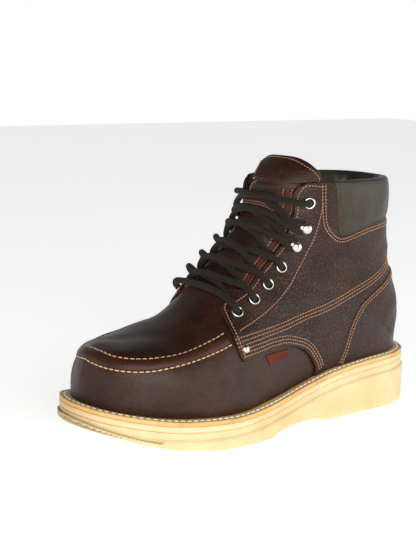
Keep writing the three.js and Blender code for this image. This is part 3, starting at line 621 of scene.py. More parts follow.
@dataclass
class Panel:
    """A leather panel that lies on the last or on the panels under it.

    Its grid runs from the lower edge to the upper one on straight lines of the wrap chart, pulled to
    the front and back edges where those are given.

    Attributes:
        name: The piece's name.
        lower: Its lower edge, from front to back.
        upper: Its upper edge, from front to back.
        floor: Height of its underside over the last.
        thickness: The leather's thickness.
        side: The side it lies on, or None where it passes the back seam.
        front: Its front edge, from the lower edge to the upper one, or nothing for a straight one.
        count: Points along it and across it.
        soft: How much of the relief it follows.
    """

    name: str
    lower: Edge
    upper: Edge
    floor: float
    thickness: float
    side: Side | None = None
    front: Points = ()
    count: tuple[int, int] = (200, 110)
    soft: float = 1.0

    def build(
        self, material: Material, replaces: tuple[str, ...], slot: str, dimples: Array | None = None
    ) -> Object:
        """Makes the panel as a closed sheet with rounded edges.

        Args:
            material: Its leather.
            replaces: The solids that it stands for.
            slot: Not used, only handed on to the piece.
            dimples: Middles of the fittings whose holes sink into it.

        Returns:
            The object.
        """
        u, v = graded(self.count[0], 0.08), graded(self.count[1])
        low, high = self.lower.at(u), self.upper.at(u)
        places = low[:, None] + (high - low)[:, None] * v[None, :, None]
        if len(self.front):
            bent = Edge([(0, 1, self.front)]).at(v) - places[0]
            places += (1 - smooth_step(u * 5))[:, None, None] * bent[None]
        points, outs = LAST.on_wrap(places, self.side)
        distance = edge_distance(points)
        height = self.floor + rolled(distance, self.thickness, 0.9)
        if dimples is not None:
            gap = np.linalg.norm(points[:, :, None] - dimples[None, None], axis=-1).min(-1)
            height -= (self.thickness + 1.0) * (1 - smooth_step((gap - 1.6) / 1.6))
        top = lifted(points, outs, height, self.soft)
        bottom = lifted(points, outs, self.floor, self.soft)
        faces = slab_faces(*self.count)
        if self.side is Side.MEDIAL:
            faces = faces[:, ::-1]
        wear = 0.9 * np.exp(-distance / 0.5)
        values = {"edge": np.r_[wear.ravel(), np.full(wear.size, 0.7)]}
        vertices = np.vstack([top.reshape(-1, 3), bottom.reshape(-1, 3)])
        return Piece(self.name, vertices, faces, [material], replaces, slot, values=values).build()


def hex_colour(code: str) -> tuple[float, float, float, float]:
    """Turns an sRGB hex colour to linear values."""
    parts = (int(code[i : i + 2], 16) / 255 for i in (1, 3, 5))
    linear = [p / 12.92 if p <= 0.04045 else ((p + 0.055) / 1.055) ** 2.4 for p in parts]
    return (*linear, 1.0)


def add_node(tree: Tree, kind: str, settings: dict | None = None, **inputs) -> Node:
    """Adds a node with its settings, values and links.

    Args:
        tree: The material's node tree.
        kind: The node's type, without the ShaderNode in front.
        settings: Properties of the node.
        **inputs: Values or output sockets for its inputs, by name with _ for a space, or by number
            after an i.

    Returns:
        The node.
    """
    node = tree.nodes.new("ShaderNode" + kind)
    for name, value in (settings or {}).items():
        setattr(node, name, value)
    for name, value in inputs.items():
        numbered = name[0] == "i" and name[1:].isdigit()
        socket = node.inputs[int(name[1:]) if numbered else name.replace("_", " ")]
        if isinstance(value, Socket):
            tree.links.new(value, socket)
        else:
            socket.default_value = value
    return node


def ramp(tree: Tree, factor: Socket, stops: Sequence[tuple[float, str]]) -> Socket:
    """A colour ramp with hex colours at some places."""
    node = add_node(tree, "ValToRGB", Fac=factor)
    elements = node.color_ramp.elements
    while len(elements) < len(stops):
        elements.new(0.5)
    for element, (place, code) in zip(elements, stops):
        element.position = place
        element.color = hex_colour(code)
    return node.outputs[0]


def new_material(name: str) -> tuple[Material, Tree, Node]:
    """A material with its node tree and its shader."""
    material = bpy.data.materials.new(name)
    material.use_nodes = True
    return material, material.node_tree, material.node_tree.nodes["Principled BSDF"]


@dataclass(frozen=True)
class Leather:
    """Full-grain leather, oiled and drum-dyed: soft gloss over a fine pebble, with painted shade in the
    pebble's creases and painted light on its tops, redder where it is rubbed.

    Attributes:
        name: The finish's name.
        dark: Colour in the grain's valleys and in shade.
        body: The main colour.
        light: Colour where the dye is thin.
        raw: Colour of its cut edges.
        cell: Size of the tumbled pebble in mm.
        pebble: Depth of the pebble in mm.
        roughness: Middle roughness.
        coat: Weight of the wax on it.
        crease_shade: How much painted shade darkens the pebble's creases, with a little painted light on their
            tops.
    """

    name: str
    dark: str = "#2a1b18"
    body: str = "#463029"
    light: str = "#5a4238"
    raw: str = "#7c3322"
    cell: float = 2.6
    pebble: float = 0.12
    roughness: float = 0.46
    coat: float = 0.12
    crease_shade: float = 0.3

    def build(self) -> Material:
        """Makes the material."""
        material, tree, shader = new_material(self.name)
        place = add_node(tree, "TexCoord").outputs["Object"]
        blotches = add_node(tree, "TexNoise", Vector=place, Scale=38.0, Detail=5.0, Roughness=0.6)
        blotch = blotches.outputs["Fac"]
        product = {"operation": "MULTIPLY", "use_clamp": True}
        fine = add_node(tree, "TexNoise", Vector=place, Scale=420.0, Detail=3.0).outputs["Fac"]
        mixed = add_node(tree, "Mix", {"data_type": "FLOAT"}, i0=0.3, i2=blotch, i3=fine).outputs[0]
        colour = ramp(tree, mixed, ((0.36, self.dark), (0.5, self.body), (0.68, self.light)))
        edge = add_node(tree, "Attribute", {"attribute_name": "edge"}).outputs["Fac"]
        rubbed = add_node(tree, "Math", {"operation": "MULTIPLY_ADD"}, i0=blotch, i1=0.9, i2=-0.28).outputs[0]
        torn = add_node(tree, "Math", product, i0=edge, i1=rubbed).outputs[0]
        strong = add_node(tree, "Math", product, i0=torn, i1=2.6).outputs[0]
        bend = add_node(tree, "TexNoise", Vector=place, Scale=260.0, Detail=2.0).outputs["Color"]
        bending = {"operation": "MULTIPLY_ADD"}
        warped = add_node(tree, "VectorMath", bending, i0=bend, i1=(2.2 * MM,) * 3, i2=place).outputs[0]
        cells = add_node(
            tree, "TexVoronoi", {"feature": "DISTANCE_TO_EDGE"}, Vector=warped, Scale=1 / (self.cell * MM)
        ).outputs["Distance"]
        power = {"operation": "POWER", "use_clamp": True}
        domed = add_node(tree, "Math", power, i0=cells, i1=0.45).outputs[0]
        # Painted shade in the pebble's creases and painted light on its domed tops, scaled by crease_shade
        faint, full = 1 - self.crease_shade, 1 + 0.35 * self.crease_shade
        tone = add_node(tree, "MapRange", i0=domed, i1=0.2, i2=0.7, i3=faint, i4=full).outputs[0]
        crease_shaded = add_node(tree, "VectorMath", {"operation": "SCALE"}, i0=colour, Scale=tone).outputs[0]
        tint = add_node(tree, "Mix", {"data_type": "RGBA"}, i0=strong, i6=crease_shaded, i7=hex_colour(self.raw))
        tree.links.new(tint.outputs[2], shader.inputs["Base Color"])
        pores = add_node(tree, "TexNoise", Vector=place, Scale=1500.0, Detail=2.0).outputs["Fac"]
        grain = add_node(tree, "Bump", Strength=0.9, Distance=self.pebble * MM, Height=domed).outputs[0]
        skin = add_node(tree, "Bump", Strength=0.5, Distance=0.08 * MM, Height=pores, Normal=grain).outputs[0]
        tree.links.new(skin, shader.inputs["Normal"])
        gloss = add_node(
            tree, "MapRange", i0=blotch, i1=0.3, i2=0.7, i3=self.roughness - 0.07, i4=self.roughness + 0.09
        ).outputs[0]
        tree.links.new(gloss, shader.inputs["Roughness"])
        shader.inputs["Coat Weight"].default_value = self.coat
        shader.inputs["Coat Roughness"].default_value = 0.3
        shader.inputs["Specular IOR Level"].default_value = 0.26
        return material


@dataclass(frozen=True)
class Rubber:
    """Moulded foamed rubber: matt, with a faint cloud in its colour and a fine skin.

    Attributes:
        name: The finish's name.
        dark: Colour of the clouds and of dirt.
        body: The main colour.
        light: The palest colour.
        roughness: Roughness.
        depth: Depth of the skin's texture in mm.
        glow: How far light goes in, in mm.
    """

    name: str
    dark: str
    body: str
    light: str
    roughness: float = 0.62
    depth: float = 0.1
    glow: float = 1.5

    def build(self) -> Material:
        """Makes the material."""
        material, tree, shader = new_material(self.name)
        place = add_node(tree, "TexCoord").outputs["Object"]
        clouds = add_node(tree, "TexNoise", Vector=place, Scale=26.0, Detail=6.0, Roughness=0.62)
        cloud = clouds.outputs["Fac"]
        colour = ramp(tree, cloud, ((0.34, self.dark), (0.5, self.body), (0.66, self.light)))
        tree.links.new(colour, shader.inputs["Base Color"])
        skin = add_node(tree, "TexNoise", Vector=place, Scale=700.0, Detail=3.0).outputs["Fac"]
        bump = add_node(tree, "Bump", Strength=0.5, Distance=self.depth * MM, Height=skin).outputs[0]
        tree.links.new(bump, shader.inputs["Normal"])
        shader.inputs["Roughness"].default_value = self.roughness
        shader.inputs["Subsurface Weight"].default_value = 0.12
        deep = self.glow * MM
        shader.inputs["Subsurface Radius"].default_value = (deep, deep * 0.7, deep * 0.4)
        shader.inputs["Subsurface Scale"].default_value = 1.0
        return material


@dataclass(frozen=True)
class Yarn:
    """Twisted or braided yarn: matt, with slanted strands and a fuzz that catches light.

    Attributes:
        name: The finish's name.
        dark: Colour between the strands, as painted shade.
        light: Colour on top of the strands, as a painted highlight.
        strand: Width of a strand in mm.
        braided: Whether strands cross both ways.
        depth: Depth between the strands in mm.
    """

    name: str
    dark: str
    light: str
    strand: float = 0.5
    braided: bool = False
    depth: float = 0.15

    def build(self) -> Material:
        """Makes the material."""
        material, tree, shader = new_material(self.name)
        if self.braided:
            place = add_node(tree, "UVMap", {"uv_map": "cord"}).outputs[0]
            waves = [
                add_node(
                    tree,
                    "TexWave",
                    {"bands_direction": "DIAGONAL", "wave_profile": "SIN"},
                    Vector=add_node(tree, "Mapping", i0=place, Scale=scale).outputs[0],
                    Scale=1.0,
                    Distortion=0.4,
                ).outputs["Fac"]
                for scale in ((1.0, 1.0, 1.0), (1.0, -1.0, 1.0))
            ]
            height = add_node(tree, "Math", {"operation": "MAXIMUM"}, i0=waves[0], i1=waves[1]).outputs[0]
        else:
            place = add_node(tree, "TexCoord").outputs["Object"]
            twist = add_node(tree, "TexNoise", Vector=place, Scale=1 / (self.strand * MM), Detail=2.0)
            height = twist.outputs["Fac"]
        # Colour by the strands' height: painted shade between the strands, painted highlight on their tops
        colour = ramp(tree, height, ((0.25, self.dark), (0.8, self.light)))
        tree.links.new(colour, shader.inputs["Base Color"])
        bump = add_node(tree, "Bump", Strength=0.9, Distance=self.depth * MM, Height=height).outputs[0]
        tree.links.new(bump, shader.inputs["Normal"])
        shader.inputs["Roughness"].default_value = 0.8
        shader.inputs["Specular IOR Level"].default_value = 0.2
        shader.inputs["Sheen Weight"].default_value = 0.06
        shader.inputs["Sheen Roughness"].default_value = 0.5
        return material


@dataclass(frozen=True)
class Plate:
    """Nickel plate on pressed brass: a clear mirror, a little uneven from the press.

    Attributes:
        name: The finish's name.
        colour: The metal's colour.
        roughness: Roughness.
    """

    name: str
    colour: str = "#d8d6d0"
    roughness: float = 0.16

    def build(self) -> Material:
        """Makes the material."""
        material, tree, shader = new_material(self.name)
        place = add_node(tree, "TexCoord").outputs["Object"]
        uneven = add_node(tree, "TexNoise", Vector=place, Scale=500.0, Detail=3.0).outputs["Fac"]
        bump = add_node(tree, "Bump", Strength=0.35, Distance=0.05 * MM, Height=uneven).outputs[0]
        tree.links.new(bump, shader.inputs["Normal"])
        gloss = add_node(tree, "MapRange", i0=uneven, i3=self.roughness, i4=self.roughness + 0.12).outputs[0]
        tree.links.new(gloss, shader.inputs["Roughness"])
        shader.inputs["Base Color"].default_value = hex_colour(self.colour)
        shader.inputs["Metallic"].default_value = 1.0
        return material


@dataclass
class Sole:
    """Welt, midsole and wedge outsole, swept round the feather line.

    Attributes:
        count: Points along each side.
        welt_width: How far the welt stands out of the feather line.
        welt_inner: How far it reaches in under the upper.
        welt: The welt's thickness.
        midsole: The midsole's thickness.
        gap: Space between layers.
        step_drop: Height of the outsole's upper band.
        step: How far the band is set back.
        flare: How far the bottom edge stands out.
        ripple: Spacing of the tread's ripples.
        ripple_depth: Their depth.
    """

    count: int = 620
    welt_width: float = 8.0
    welt_inner: float = 9.0
    welt: float = 3.2
    midsole: float = 4.2
    gap: float = 0.3
    step_drop: float = 4.5
    step: float = 1.2
    flare: float = 1.4
    ripple: float = 2.55
    ripple_depth: float = 1.2

    def tread(self, x: Array) -> Array:
        """Height of the underside: flat, with an elliptic arch and a parabolic toe spring."""
        near = np.abs(x - to_x(0.45)) / (0.1 * LAST_LENGTH)
        arch = ARCH_LIFT * np.sqrt(np.maximum(0, 1 - near**2))
        forward = np.maximum(0, (to_x(0.652) - x) / (to_x(0.652) - to_x(1.0)))
        return arch + TOE_SPRING * forward**2

    def ripples(self, x: Array) -> Array:
        """Height of the tread's cross ripples, a raised cosine with sharpened valleys."""
        return self.ripple_depth * np.abs(np.sin(np.pi * x / self.ripple)) ** 1.6

    def ring(self, name: str, levels: Points, material: Material, replaces: str, slot: str) -> Object:
        """A closed ring swept round the feather line.

        Args:
            name: The piece's name.
            levels: The section, as distances out of the feather line and drops under its height.
            material: Its material.
            replaces: The solid it stands for.
            slot: Not used, only handed on to the piece.

        Returns:
            The object.
        """
        halves = []
        for side in Side:
            at = LAST.even_rows(side, self.count)
            section = [LAST.rim(at, side, out) - np.array([0, 0, drop]) for out, drop in levels]
            halves.append(np.stack(section, 1))
        loop = np.concatenate([halves[0], halves[1][::-1][1:-1]])
        faces = grid_faces(len(loop), len(levels), close_rows=True, close_columns=True)
        points = loop.reshape(-1, 3)
        return Piece(name, points, faces, [material], (replaces,), slot, fix_normals=True).build()

    def layer(
        self, name: str, levels: Sequence[Callable], material: Material, replaces: str, slot: str,
        bottom: Callable | None = None,
    ) -> Object:
        """A closed layer: sides swept round the feather line, and a top and a bottom laid across.

        Args:
            name: The piece's name.
            levels: From the top edge down, functions of rows and side that give the side's points.
            material: Its material.
            replaces: The solids it stands for.
            slot: Not used, only handed on to the piece.
            bottom: Height of the underside as a function of x, or None where it follows its edge.

        Returns:
            The object.
        """
        rows = {side: LAST.even_rows(side, self.count) for side in Side}
        sides = {side: [level(rows[side], side) for level in levels] for side in Side}
        across = np.linspace(0, 1, 11)[None, :, None]
        outer, inner = sides[Side.LATERAL], sides[Side.MEDIAL]
        first, last = (outer[k][:, None] * (1 - across) + inner[k][:, None] * across for k in (0, -1))
        if bottom:
            last[..., 2] = bottom(last[..., 0])
        left = np.stack(sides[Side.LATERAL][::-1], 1)
        right = np.stack(sides[Side.MEDIAL], 1)
        if bottom:
            left[:, 0, 2], right[:, -1, 2] = last[:, 0, 2], last[:, -1, 2]
        loop = np.concatenate([last[:, ::-1], left[:, 1:-1], first, right[:, 1:-1]], 1)
        faces = grid_faces(loop.shape[0], loop.shape[1], close_columns=True)
        return Piece(
            name, loop.reshape(-1, 3), faces, [material], (replaces,), slot, weld=0.02, fix_normals=True
        ).build()

    def build(self, finishes: dict[str, Material]) -> None:
        """Makes the three layers and the welt's stitching."""
        width, gap = self.welt_width, self.gap
        groove = width - 3.6
        section = (
            (-self.welt_inner, 0.0),
            (-2.0, 0.0),
            (0.6, 0.0),
            (groove - 1.3, 0.0),
            (groove - 0.5, 0.5),
            (groove + 0.5, 0.5),
            (groove + 1.3, 0.0),
            (width - 0.9, 0.0),
            (width - 0.25, 0.3),
            (width, 0.9),
            (width - 0.1, 2.2),
            (width - 0.45, self.welt),
            (-self.welt_inner, self.welt),
        )
        self.ring("welt_strip", section, finishes["welt"], "welt", "welt_leather")
        top = self.welt + gap
        low = top + self.midsole

        def under(out: float, drop: float) -> Callable:
            return lambda at, side: LAST.rim(at, side, out) - np.array([0, 0, drop])

        self.layer(
            "midsole_sheet",
            [
                under(width - 0.4, top),
                under(width, top + 0.6),
                under(width, low - 0.6),
                under(width - 0.4, low),
            ],
            finishes["midsole"],
            "midsole",
            "midsole_rubber",
        )
        top = low + gap

        def foot(out: float, height: float) -> Callable:
            def points(at: Array, side: Side) -> Array:
                rim = LAST.rim(at, side, out)
                rim[:, 2] = self.tread(rim[:, 0]) + height + self.ripples(rim[:, 0]) * (height < 1.5)
                return rim

            return points

        step = self.step_drop
        self.layer(
            "outsole_wedge",
            [
                under(width - 0.5, top),
                under(width - 0.1, top + 0.5),
                under(width - 0.1, top + step - 0.8),
                under(width - 0.5, top + step),
                under(width - 0.2, top + step + 0.5),
                under(width + self.step, top + step + 1.3),
                under(width + self.step + 0.1, top + step + 3.0),
                foot(width + self.flare, 4.0),
                foot(width + self.flare, 1.2),
                foot(width + self.flare - 0.5, 0.3),
                foot(width, 0.0),
            ],
            finishes["outsole"],
            "outsole",
            "outsole_rubber",
            bottom=lambda x: self.tread(x) + self.ripples(x) * 0.9,
        )
        rows = []
        for side in Side:
            at = LAST.even_rows(side, 600)
            line = LAST.rim(at, side, groove)
            rows.append(line if side is Side.LATERAL else line[::-1])
        line = np.vstack([rows[0], rows[1][1:]])
        up = np.tile([0.0, 0.0, 1.0], (len(line), 1))
        Stitching("welt_stitches", pitch=4.9, length=4.5, radius=0.85).build(
            [(line - up * 0.15, up)], finishes["thread_white"], "welt_leather"
        )


@dataclass
class Stitching:
    """Rows of stitches as one mesh: short plump strands with pointed ends that dip into the leather.

    Attributes:
        name: The piece's name.
        pitch: Distance from stitch to stitch.
        length: Length of a stitch.
        radius: Half its thickness.
    """

    name: str
    pitch: float
    length: float
    radius: float

    def build(self, rows: Sequence[tuple[Array, Array]], material: Material, slot: str) -> Object:
        """Makes the stitches.

        A stitch is a ball stretched along the row: rings of radius sin(a), set at -cos(a) along it, and
        sunk a little towards its ends.

        Args:
            rows: For each row, points along it and the directions out of the leather there.
            material: The thread.
            slot: Not used, only handed on to the piece.

        Returns:
            The object.
        """
        angle = np.linspace(0, np.pi, 7)[1:-1]
        turn = np.linspace(0, 2 * np.pi, 6, endpoint=False)
        tip = np.array([[-1.0, 0, 0]]), np.array([[1.0, 0, 0]])
        girth = np.sin(angle)[:, None] ** 0.6
        ringed = (-np.cos(angle)[:, None], girth * np.cos(turn), girth * np.sin(turn))
        rings = np.stack(np.broadcast_arrays(*ringed), -1).reshape(-1, 3)
        ball = np.vstack([rings, *tip])
        quads = grid_faces(len(angle), len(turn), close_columns=True)
        number = np.arange(len(turn))
        following = np.roll(number, -1)
        last = (len(angle) - 1) * len(turn)
        caps = np.vstack(
            [
                np.stack([np.full(len(turn), len(rings)), number, following], -1),
                np.stack([np.full(len(turn), len(rings) + 1), following + last, number + last], -1),
            ]
        )
        centres, alongs, outs = [], [], []
        for line, out in rows:
            length = np.r_[0, np.cumsum(np.linalg.norm(np.diff(line, axis=0), axis=1))]
            where = np.arange(self.pitch / 2, length[-1], self.pitch)
            read = lambda values, at: np.stack([np.interp(at, length, values[:, k]) for k in range(3)], -1)
            centres.append(read(line, where))
            alongs.append(read(line, where + 0.4) - read(line, where - 0.4))
            outs.append(read(out, where))
        centre, along, out = np.vstack(centres), unit(np.vstack(alongs)), unit(np.vstack(outs))
        beside = unit(np.cross(out, along))
        shape = (
            ball[None, :, :1] * along[:, None] * self.length / 2
            + ball[None, :, 1:2] * beside[:, None] * self.radius
            + (ball[None, :, 2:] * self.radius - 0.5 * self.radius * ball[None, :, :1] ** 2) * out[:, None]
        )
        points = (centre[:, None] + shape).reshape(-1, 3)
        offset = (np.arange(len(centre)) * len(ball))[:, None, None]
        faces = (quads[None] + offset).reshape(-1, 4).tolist() + (caps[None] + offset).reshape(-1, 3).tolist()
        return Piece(self.name, points, faces, [material], (), slot, fix_normals=True).build()


def wrap_row(places: Points, side: Side | None, lift: float) -> tuple[Array, Array]:
    """A row of stitches at places of the wrap chart, at a height over the last."""
    points, outs = LAST.on_wrap(smooth_line(places, step=1.5), side)
    return lifted(points, outs, lift), outs


def raised(at: Array, across: Array, lift: Array | float) -> Array:
    """Points at rows and signed shares, at a height over the last."""
    points, outs = LAST.across(at, across)
    return points + outs * np.broadcast_to(lift, points.shape[:-1])[..., None]


def even_chart(stops: Points, count: int) -> Array:
    """Rows and signed shares on a smooth line through stops, evenly spaced as they lie on the last."""
    stretch = np.array([1.0, 4.0])
    chart = smooth_line(np.array(stops) * stretch, count=1200) / stretch
    points, _ = LAST.across(chart[:, 0], chart[:, 1])
    length = np.r_[0, np.cumsum(np.linalg.norm(np.diff(points, axis=0), axis=1))]
    where = np.linspace(0, length[-1], count)
    return np.stack([np.interp(where, length, chart[:, k]) for k in range(2)], -1)


def side_places(shares: Points) -> list[tuple[float, float]]:
    """Turns side-view shares ahead of the heel to places of the wrap chart."""
    return [(float(to_x(along)), float(to_z(rise))) for along, rise in shares]


# Outlines in side-view shares, along from the heel's back and rise over the heel seat; the counter's and
# the collar's are places of the wrap chart in mm
EYESTAY_EDGE = ((0.626, 0.388), (0.599, 0.412), (0.557, 0.458), (0.514, 0.533), (0.468, 0.61), (0.433, 0.694),
                (0.415, 0.79), (0.407, 0.878), (0.413, 0.939), (0.405, 0.981), (0.385, 1.006))
QUARTER_FRONT = ((0.622, 0.114), (0.631, 0.118), (0.636, 0.133), (0.642, 0.169), (0.647, 0.245),
                 (0.6465, 0.325), (0.642, 0.362), (0.635, 0.379), (0.626, 0.388))
QUARTER_LOWER = ((0.622, 0.114), (0.56, 0.131), (0.49, 0.147), (0.455, 0.139), (0.42, 0.113), (0.397, 0.078),
                 (0.38, 0.028), (0.371, -0.02))
FITTINGS = (
    (0.608, 0.345, "eyelet"),
    (0.5515, 0.4007, "eyelet"),
    (0.502, 0.469, "eyelet"),
    (0.453, 0.55, "eyelet"),
    (0.409, 0.656, "hook"),
    (0.3815, 0.757, "hook"),
    (0.375, 0.896, "eyelet"),
)
RIVET = (0.62, 0.175)
COUNTER_FRONT = ((-42.6, 38.6), (-41.4, 43.5), (-38.3, 51.9), (-31.4, 66.6), (-20.2, 80.6), (-9.8, 88.8),
                 (1.5, 96.2), (22.0, 106.0), (40, 110.0), (59.9, 111.0))
COLLAR_LOWER = ((-43.2, 143.3), (-38.0, 141.1), (-29.0, 142.1), (-14.5, 147.0), (-1.9, 149.7), (14, 151.0),
                (31, 151.3), (59.9, 151.5))
COLLAR_FRONT = ((-50.0, 182.7), (-48.2, 170), (-46.1, 153.3), (-43.2, 143.3))


@dataclass
class Upper:
    """The hollow upper with vamp, apron and shaft, and the leather panels sewn on it.

    Attributes:
        throat_row: Row number where the throat opens.
        overlay: Thickness of a quarter.
        counter: Thickness of the counter.
        backstay: Thickness of the backstay.
        half_stay: Half the backstay's width.
        tag: Thickness of the side tag.
        floor: Height of a panel's underside over the last.
        rows: Rows of the shell's grid.
        columns: Columns of it on each side.
    """

    throat_row: float = 6.75
    overlay: float = 1.8
    counter: float = 2.25
    backstay: float = 1.3
    half_stay: float = 10.2
    tag: float = 1.1
    floor: float = 0.25
    rows: int = 300
    columns: int = 64

    def gap(self, at: Array) -> Array:
        """Share at which the throat's edge runs: 1 ahead of it, then a round opening down to the eyestays."""
        row, edge = self.throat_edge()
        limit = np.interp(at, row, edge)
        opened = np.sqrt(np.clip((at - self.throat_row) / 0.9, 0, 1))
        return 1 - (1 - limit) * opened

    def throat_edge(self) -> tuple[Array, Array]:
        """Row numbers and shares of the lateral eyestay's edge, in rising order of row."""
        places = smooth_line(side_places(EYESTAY_EDGE + ((0.337, 1.01),)), step=3.0)
        at, share = LAST.search(places)
        order = np.argsort(at)
        return at[order], share[order] - 0.01

    def shell(self, finishes: dict[str, Material]) -> Object:
        """Makes the hollow wall: an outer and an inner sheet over both sides, closed at the openings.

        Its grid runs along the rows of the last and, on each side, from the feather line to the throat.
        """
        at = np.linspace(0, COLLAR_ROW - 0.12, self.rows)
        limit = self.gap(at)
        share = {side: np.linspace(0, 1, self.columns)[None] * limit[:, None] for side in Side}
        sheets = []
        for lift in (0.0, -WALL):
            halves = []
            for side in Side:
                points = LAST.skin(at[:, None], share[side], side)
                outs = LAST.out(at[:, None], share[side], side)
                if lift:
                    moved = points + outs * lift
                else:
                    moved = lifted(points, outs, lift)
                foot = at <= HEEL_ROW
                moved[foot, 0, 2] = seat(moved[foot, 0, 0]) + 0.2
                halves.append(moved if side is Side.LATERAL else moved[:, ::-1])
            sheets.append(np.concatenate(halves, 1))
        rows, columns = self.rows, self.columns
        wide = 2 * columns
        size = rows * wide
        number = np.arange(size).reshape(rows, wide)
        outer = grid_faces(rows, wide)
        row_of = outer[:, 0] // wide
        middle = outer[:, 0] % wide == columns - 1
        open_row = at[np.minimum(row_of, rows - 1)] > self.throat_row
        outer = outer[~(middle & open_row)]
        inner = outer[:, ::-1] + size

        def strip(line: Array) -> Array:
            return np.stack([line[:-1], line[1:], line[1:] + size, line[:-1] + size], -1)

        opened = np.flatnonzero(at > self.throat_row)
        foot = np.flatnonzero(at <= HEEL_ROW)
        walls = [
            strip(number[foot, 0][::-1]),
            strip(number[foot, -1]),
            strip(number[opened, columns - 1]),
            strip(number[opened, columns][::-1]),
            strip(number[-1, :columns]),
            strip(number[-1, columns:]),
        ]
        faces = np.vstack([outer, inner, *walls])
        which = np.zeros(len(faces))
        which[len(outer) : len(outer) + len(inner)] = 1
        points = np.vstack([sheet.reshape(-1, 3) for sheet in sheets])
        values = {"edge": np.zeros(len(points))}
        return Piece(
            "upper_shell",
            points,
            faces,
            [finishes["vamp"], finishes["lining"]],
            ("upper",),
            "upper_leather",
            which=which,
            values=values,
            weld=0.08,
            fix_normals=True,
        ).build()

    def quarter_edges(self) -> tuple[Edge, Edge]:
        """Lower and upper edges of a quarter, from front to back."""
        feather = [(x, float(seat(x)) + 0.3) for x in (-66.5, -60, -53, -47, -41)]
        lower = side_places(QUARTER_LOWER)
        lower.append(feather[0])
        counter = [(s + 1.2, z - 1.0) for s, z in COUNTER_FRONT]
        counter[0] = feather[-1]
        low = Edge([(0, 0.42, lower), (0.42, 0.6, feather), (0.6, 1, counter[:1] + counter[2:])])
        collar = [(s, z + 1.2) for s, z in COLLAR_LOWER]
        front = [(s + 1.2, z) for s, z in COLLAR_FRONT]
        front[-1] = collar[0]
        top = side_places(EYESTAY_EDGE[-1:] + ((0.337, 1.01),)) + [(front[0][0], 182.2)]
        eyestay = side_places(EYESTAY_EDGE)
        front[0] = top[-1]
        high = Edge([(0, 0.55, eyestay), (0.55, 0.68, top), (0.68, 0.8, front), (0.8, 1, collar)])
        return low, high

    def build(self, finishes: dict[str, Material]) -> None:
        """Makes the shell and the panels on it."""
        self.shell(finishes)
        low, high = self.quarter_edges()
        for side in Side:
            word = side.name.lower()
            holes = [fitting_place(a, r, side)[0] for a, r, kind in FITTINGS if kind == "eyelet"]
            Panel(
                f"quarter_panel_{word}",
                low,
                high,
                self.floor,
                self.overlay,
                side,
                side_places(QUARTER_FRONT),
                (230, 130),
            ).build(finishes["upper"], (f"quarter_{word}",), "upper_leather", np.array(holes))
        seam = Last.SEAM
        front = list(COUNTER_FRONT)
        mirrored = [(2 * seam - s, z) for s, z in reversed(front[:-1])]
        upper = front[:-1] + [(seam, COUNTER_FRONT[-1][1])] + mirrored
        rim = [LAST.rim(LAST.even_rows(side, 200), side, 0.0) for side in (Side.LATERAL, Side.MEDIAL)]
        lateral = LAST.wrap(rim[0])
        lateral = lateral[lateral[:, 0] > COUNTER_FRONT[0][0]]
        lateral = lateral[:: max(1, len(lateral) // 12)]
        lower = [(s, z + 0.3) for s, z in lateral]
        lower[-1] = (seam, lower[-1][1])
        lower += [(2 * seam - s, z) for s, z in reversed(lower[:-1])]
        Panel(
            "counter_panel", Edge([(0, 1, lower)]), Edge([(0, 1, upper)]), self.floor, self.counter,
            count=(260, 70),
        ).build(finishes["plain"], ("counter",), "upper_leather")
        half = self.half_stay
        Panel(
            "backstay_strip",
            Edge([(0, 1, [(seam - half, 43.6), (seam, 43.4), (seam + half, 43.6)])]),
            Edge([(0, 1, [(seam - half, 149.5), (seam, 149.5), (seam + half, 149.5)])]),
            self.floor + self.overlay,
            self.backstay,
            count=(44, 200),
        ).build(finishes["upper"], ("backstay",), "upper_leather")
        Panel(
            "side_tag_plain",
            Edge([(0, 1, side_places(((0.541, 0.0657), (0.471, 0.093))))]),
            Edge([(0, 1, side_places(((0.552, 0.1235), (0.47, 0.1336))))]),
            self.floor,
            self.tag,
            Side.LATERAL,
            count=(48, 20),
        ).build(finishes["tag"], ("side_tag",), "tag_leather")


def fitting_place(along: float, rise: float, side: Side) -> tuple[Array, Array]:
    """Point and outward direction of a fitting, from its side-view shares."""
    points, outs = LAST.on_wrap(np.array(side_places(((along, rise),))), side)
    return points[0], outs[0]


def fitting_frame(row: int, side: Side) -> tuple[Array, Array, Array, Array]:
    """Point of a fitting with its directions: out of the leather, to the throat, and up to the next."""
    place, out = fitting_place(*FITTINGS[row][:2], side)
    beside = max(row - 1, 0), min(row + 1, len(FITTINGS) - 1)
    before, after = (fitting_place(*FITTINGS[k][:2], side)[0] for k in beside)
    up = unit(after - before)
    up = unit(up - out * (up @ out))
    inward = np.cross(up, out)
    across = fitting_place(*FITTINGS[row][:2], Side(-side.value))[0] - place
    return place, out, inward * np.sign(inward @ across), up


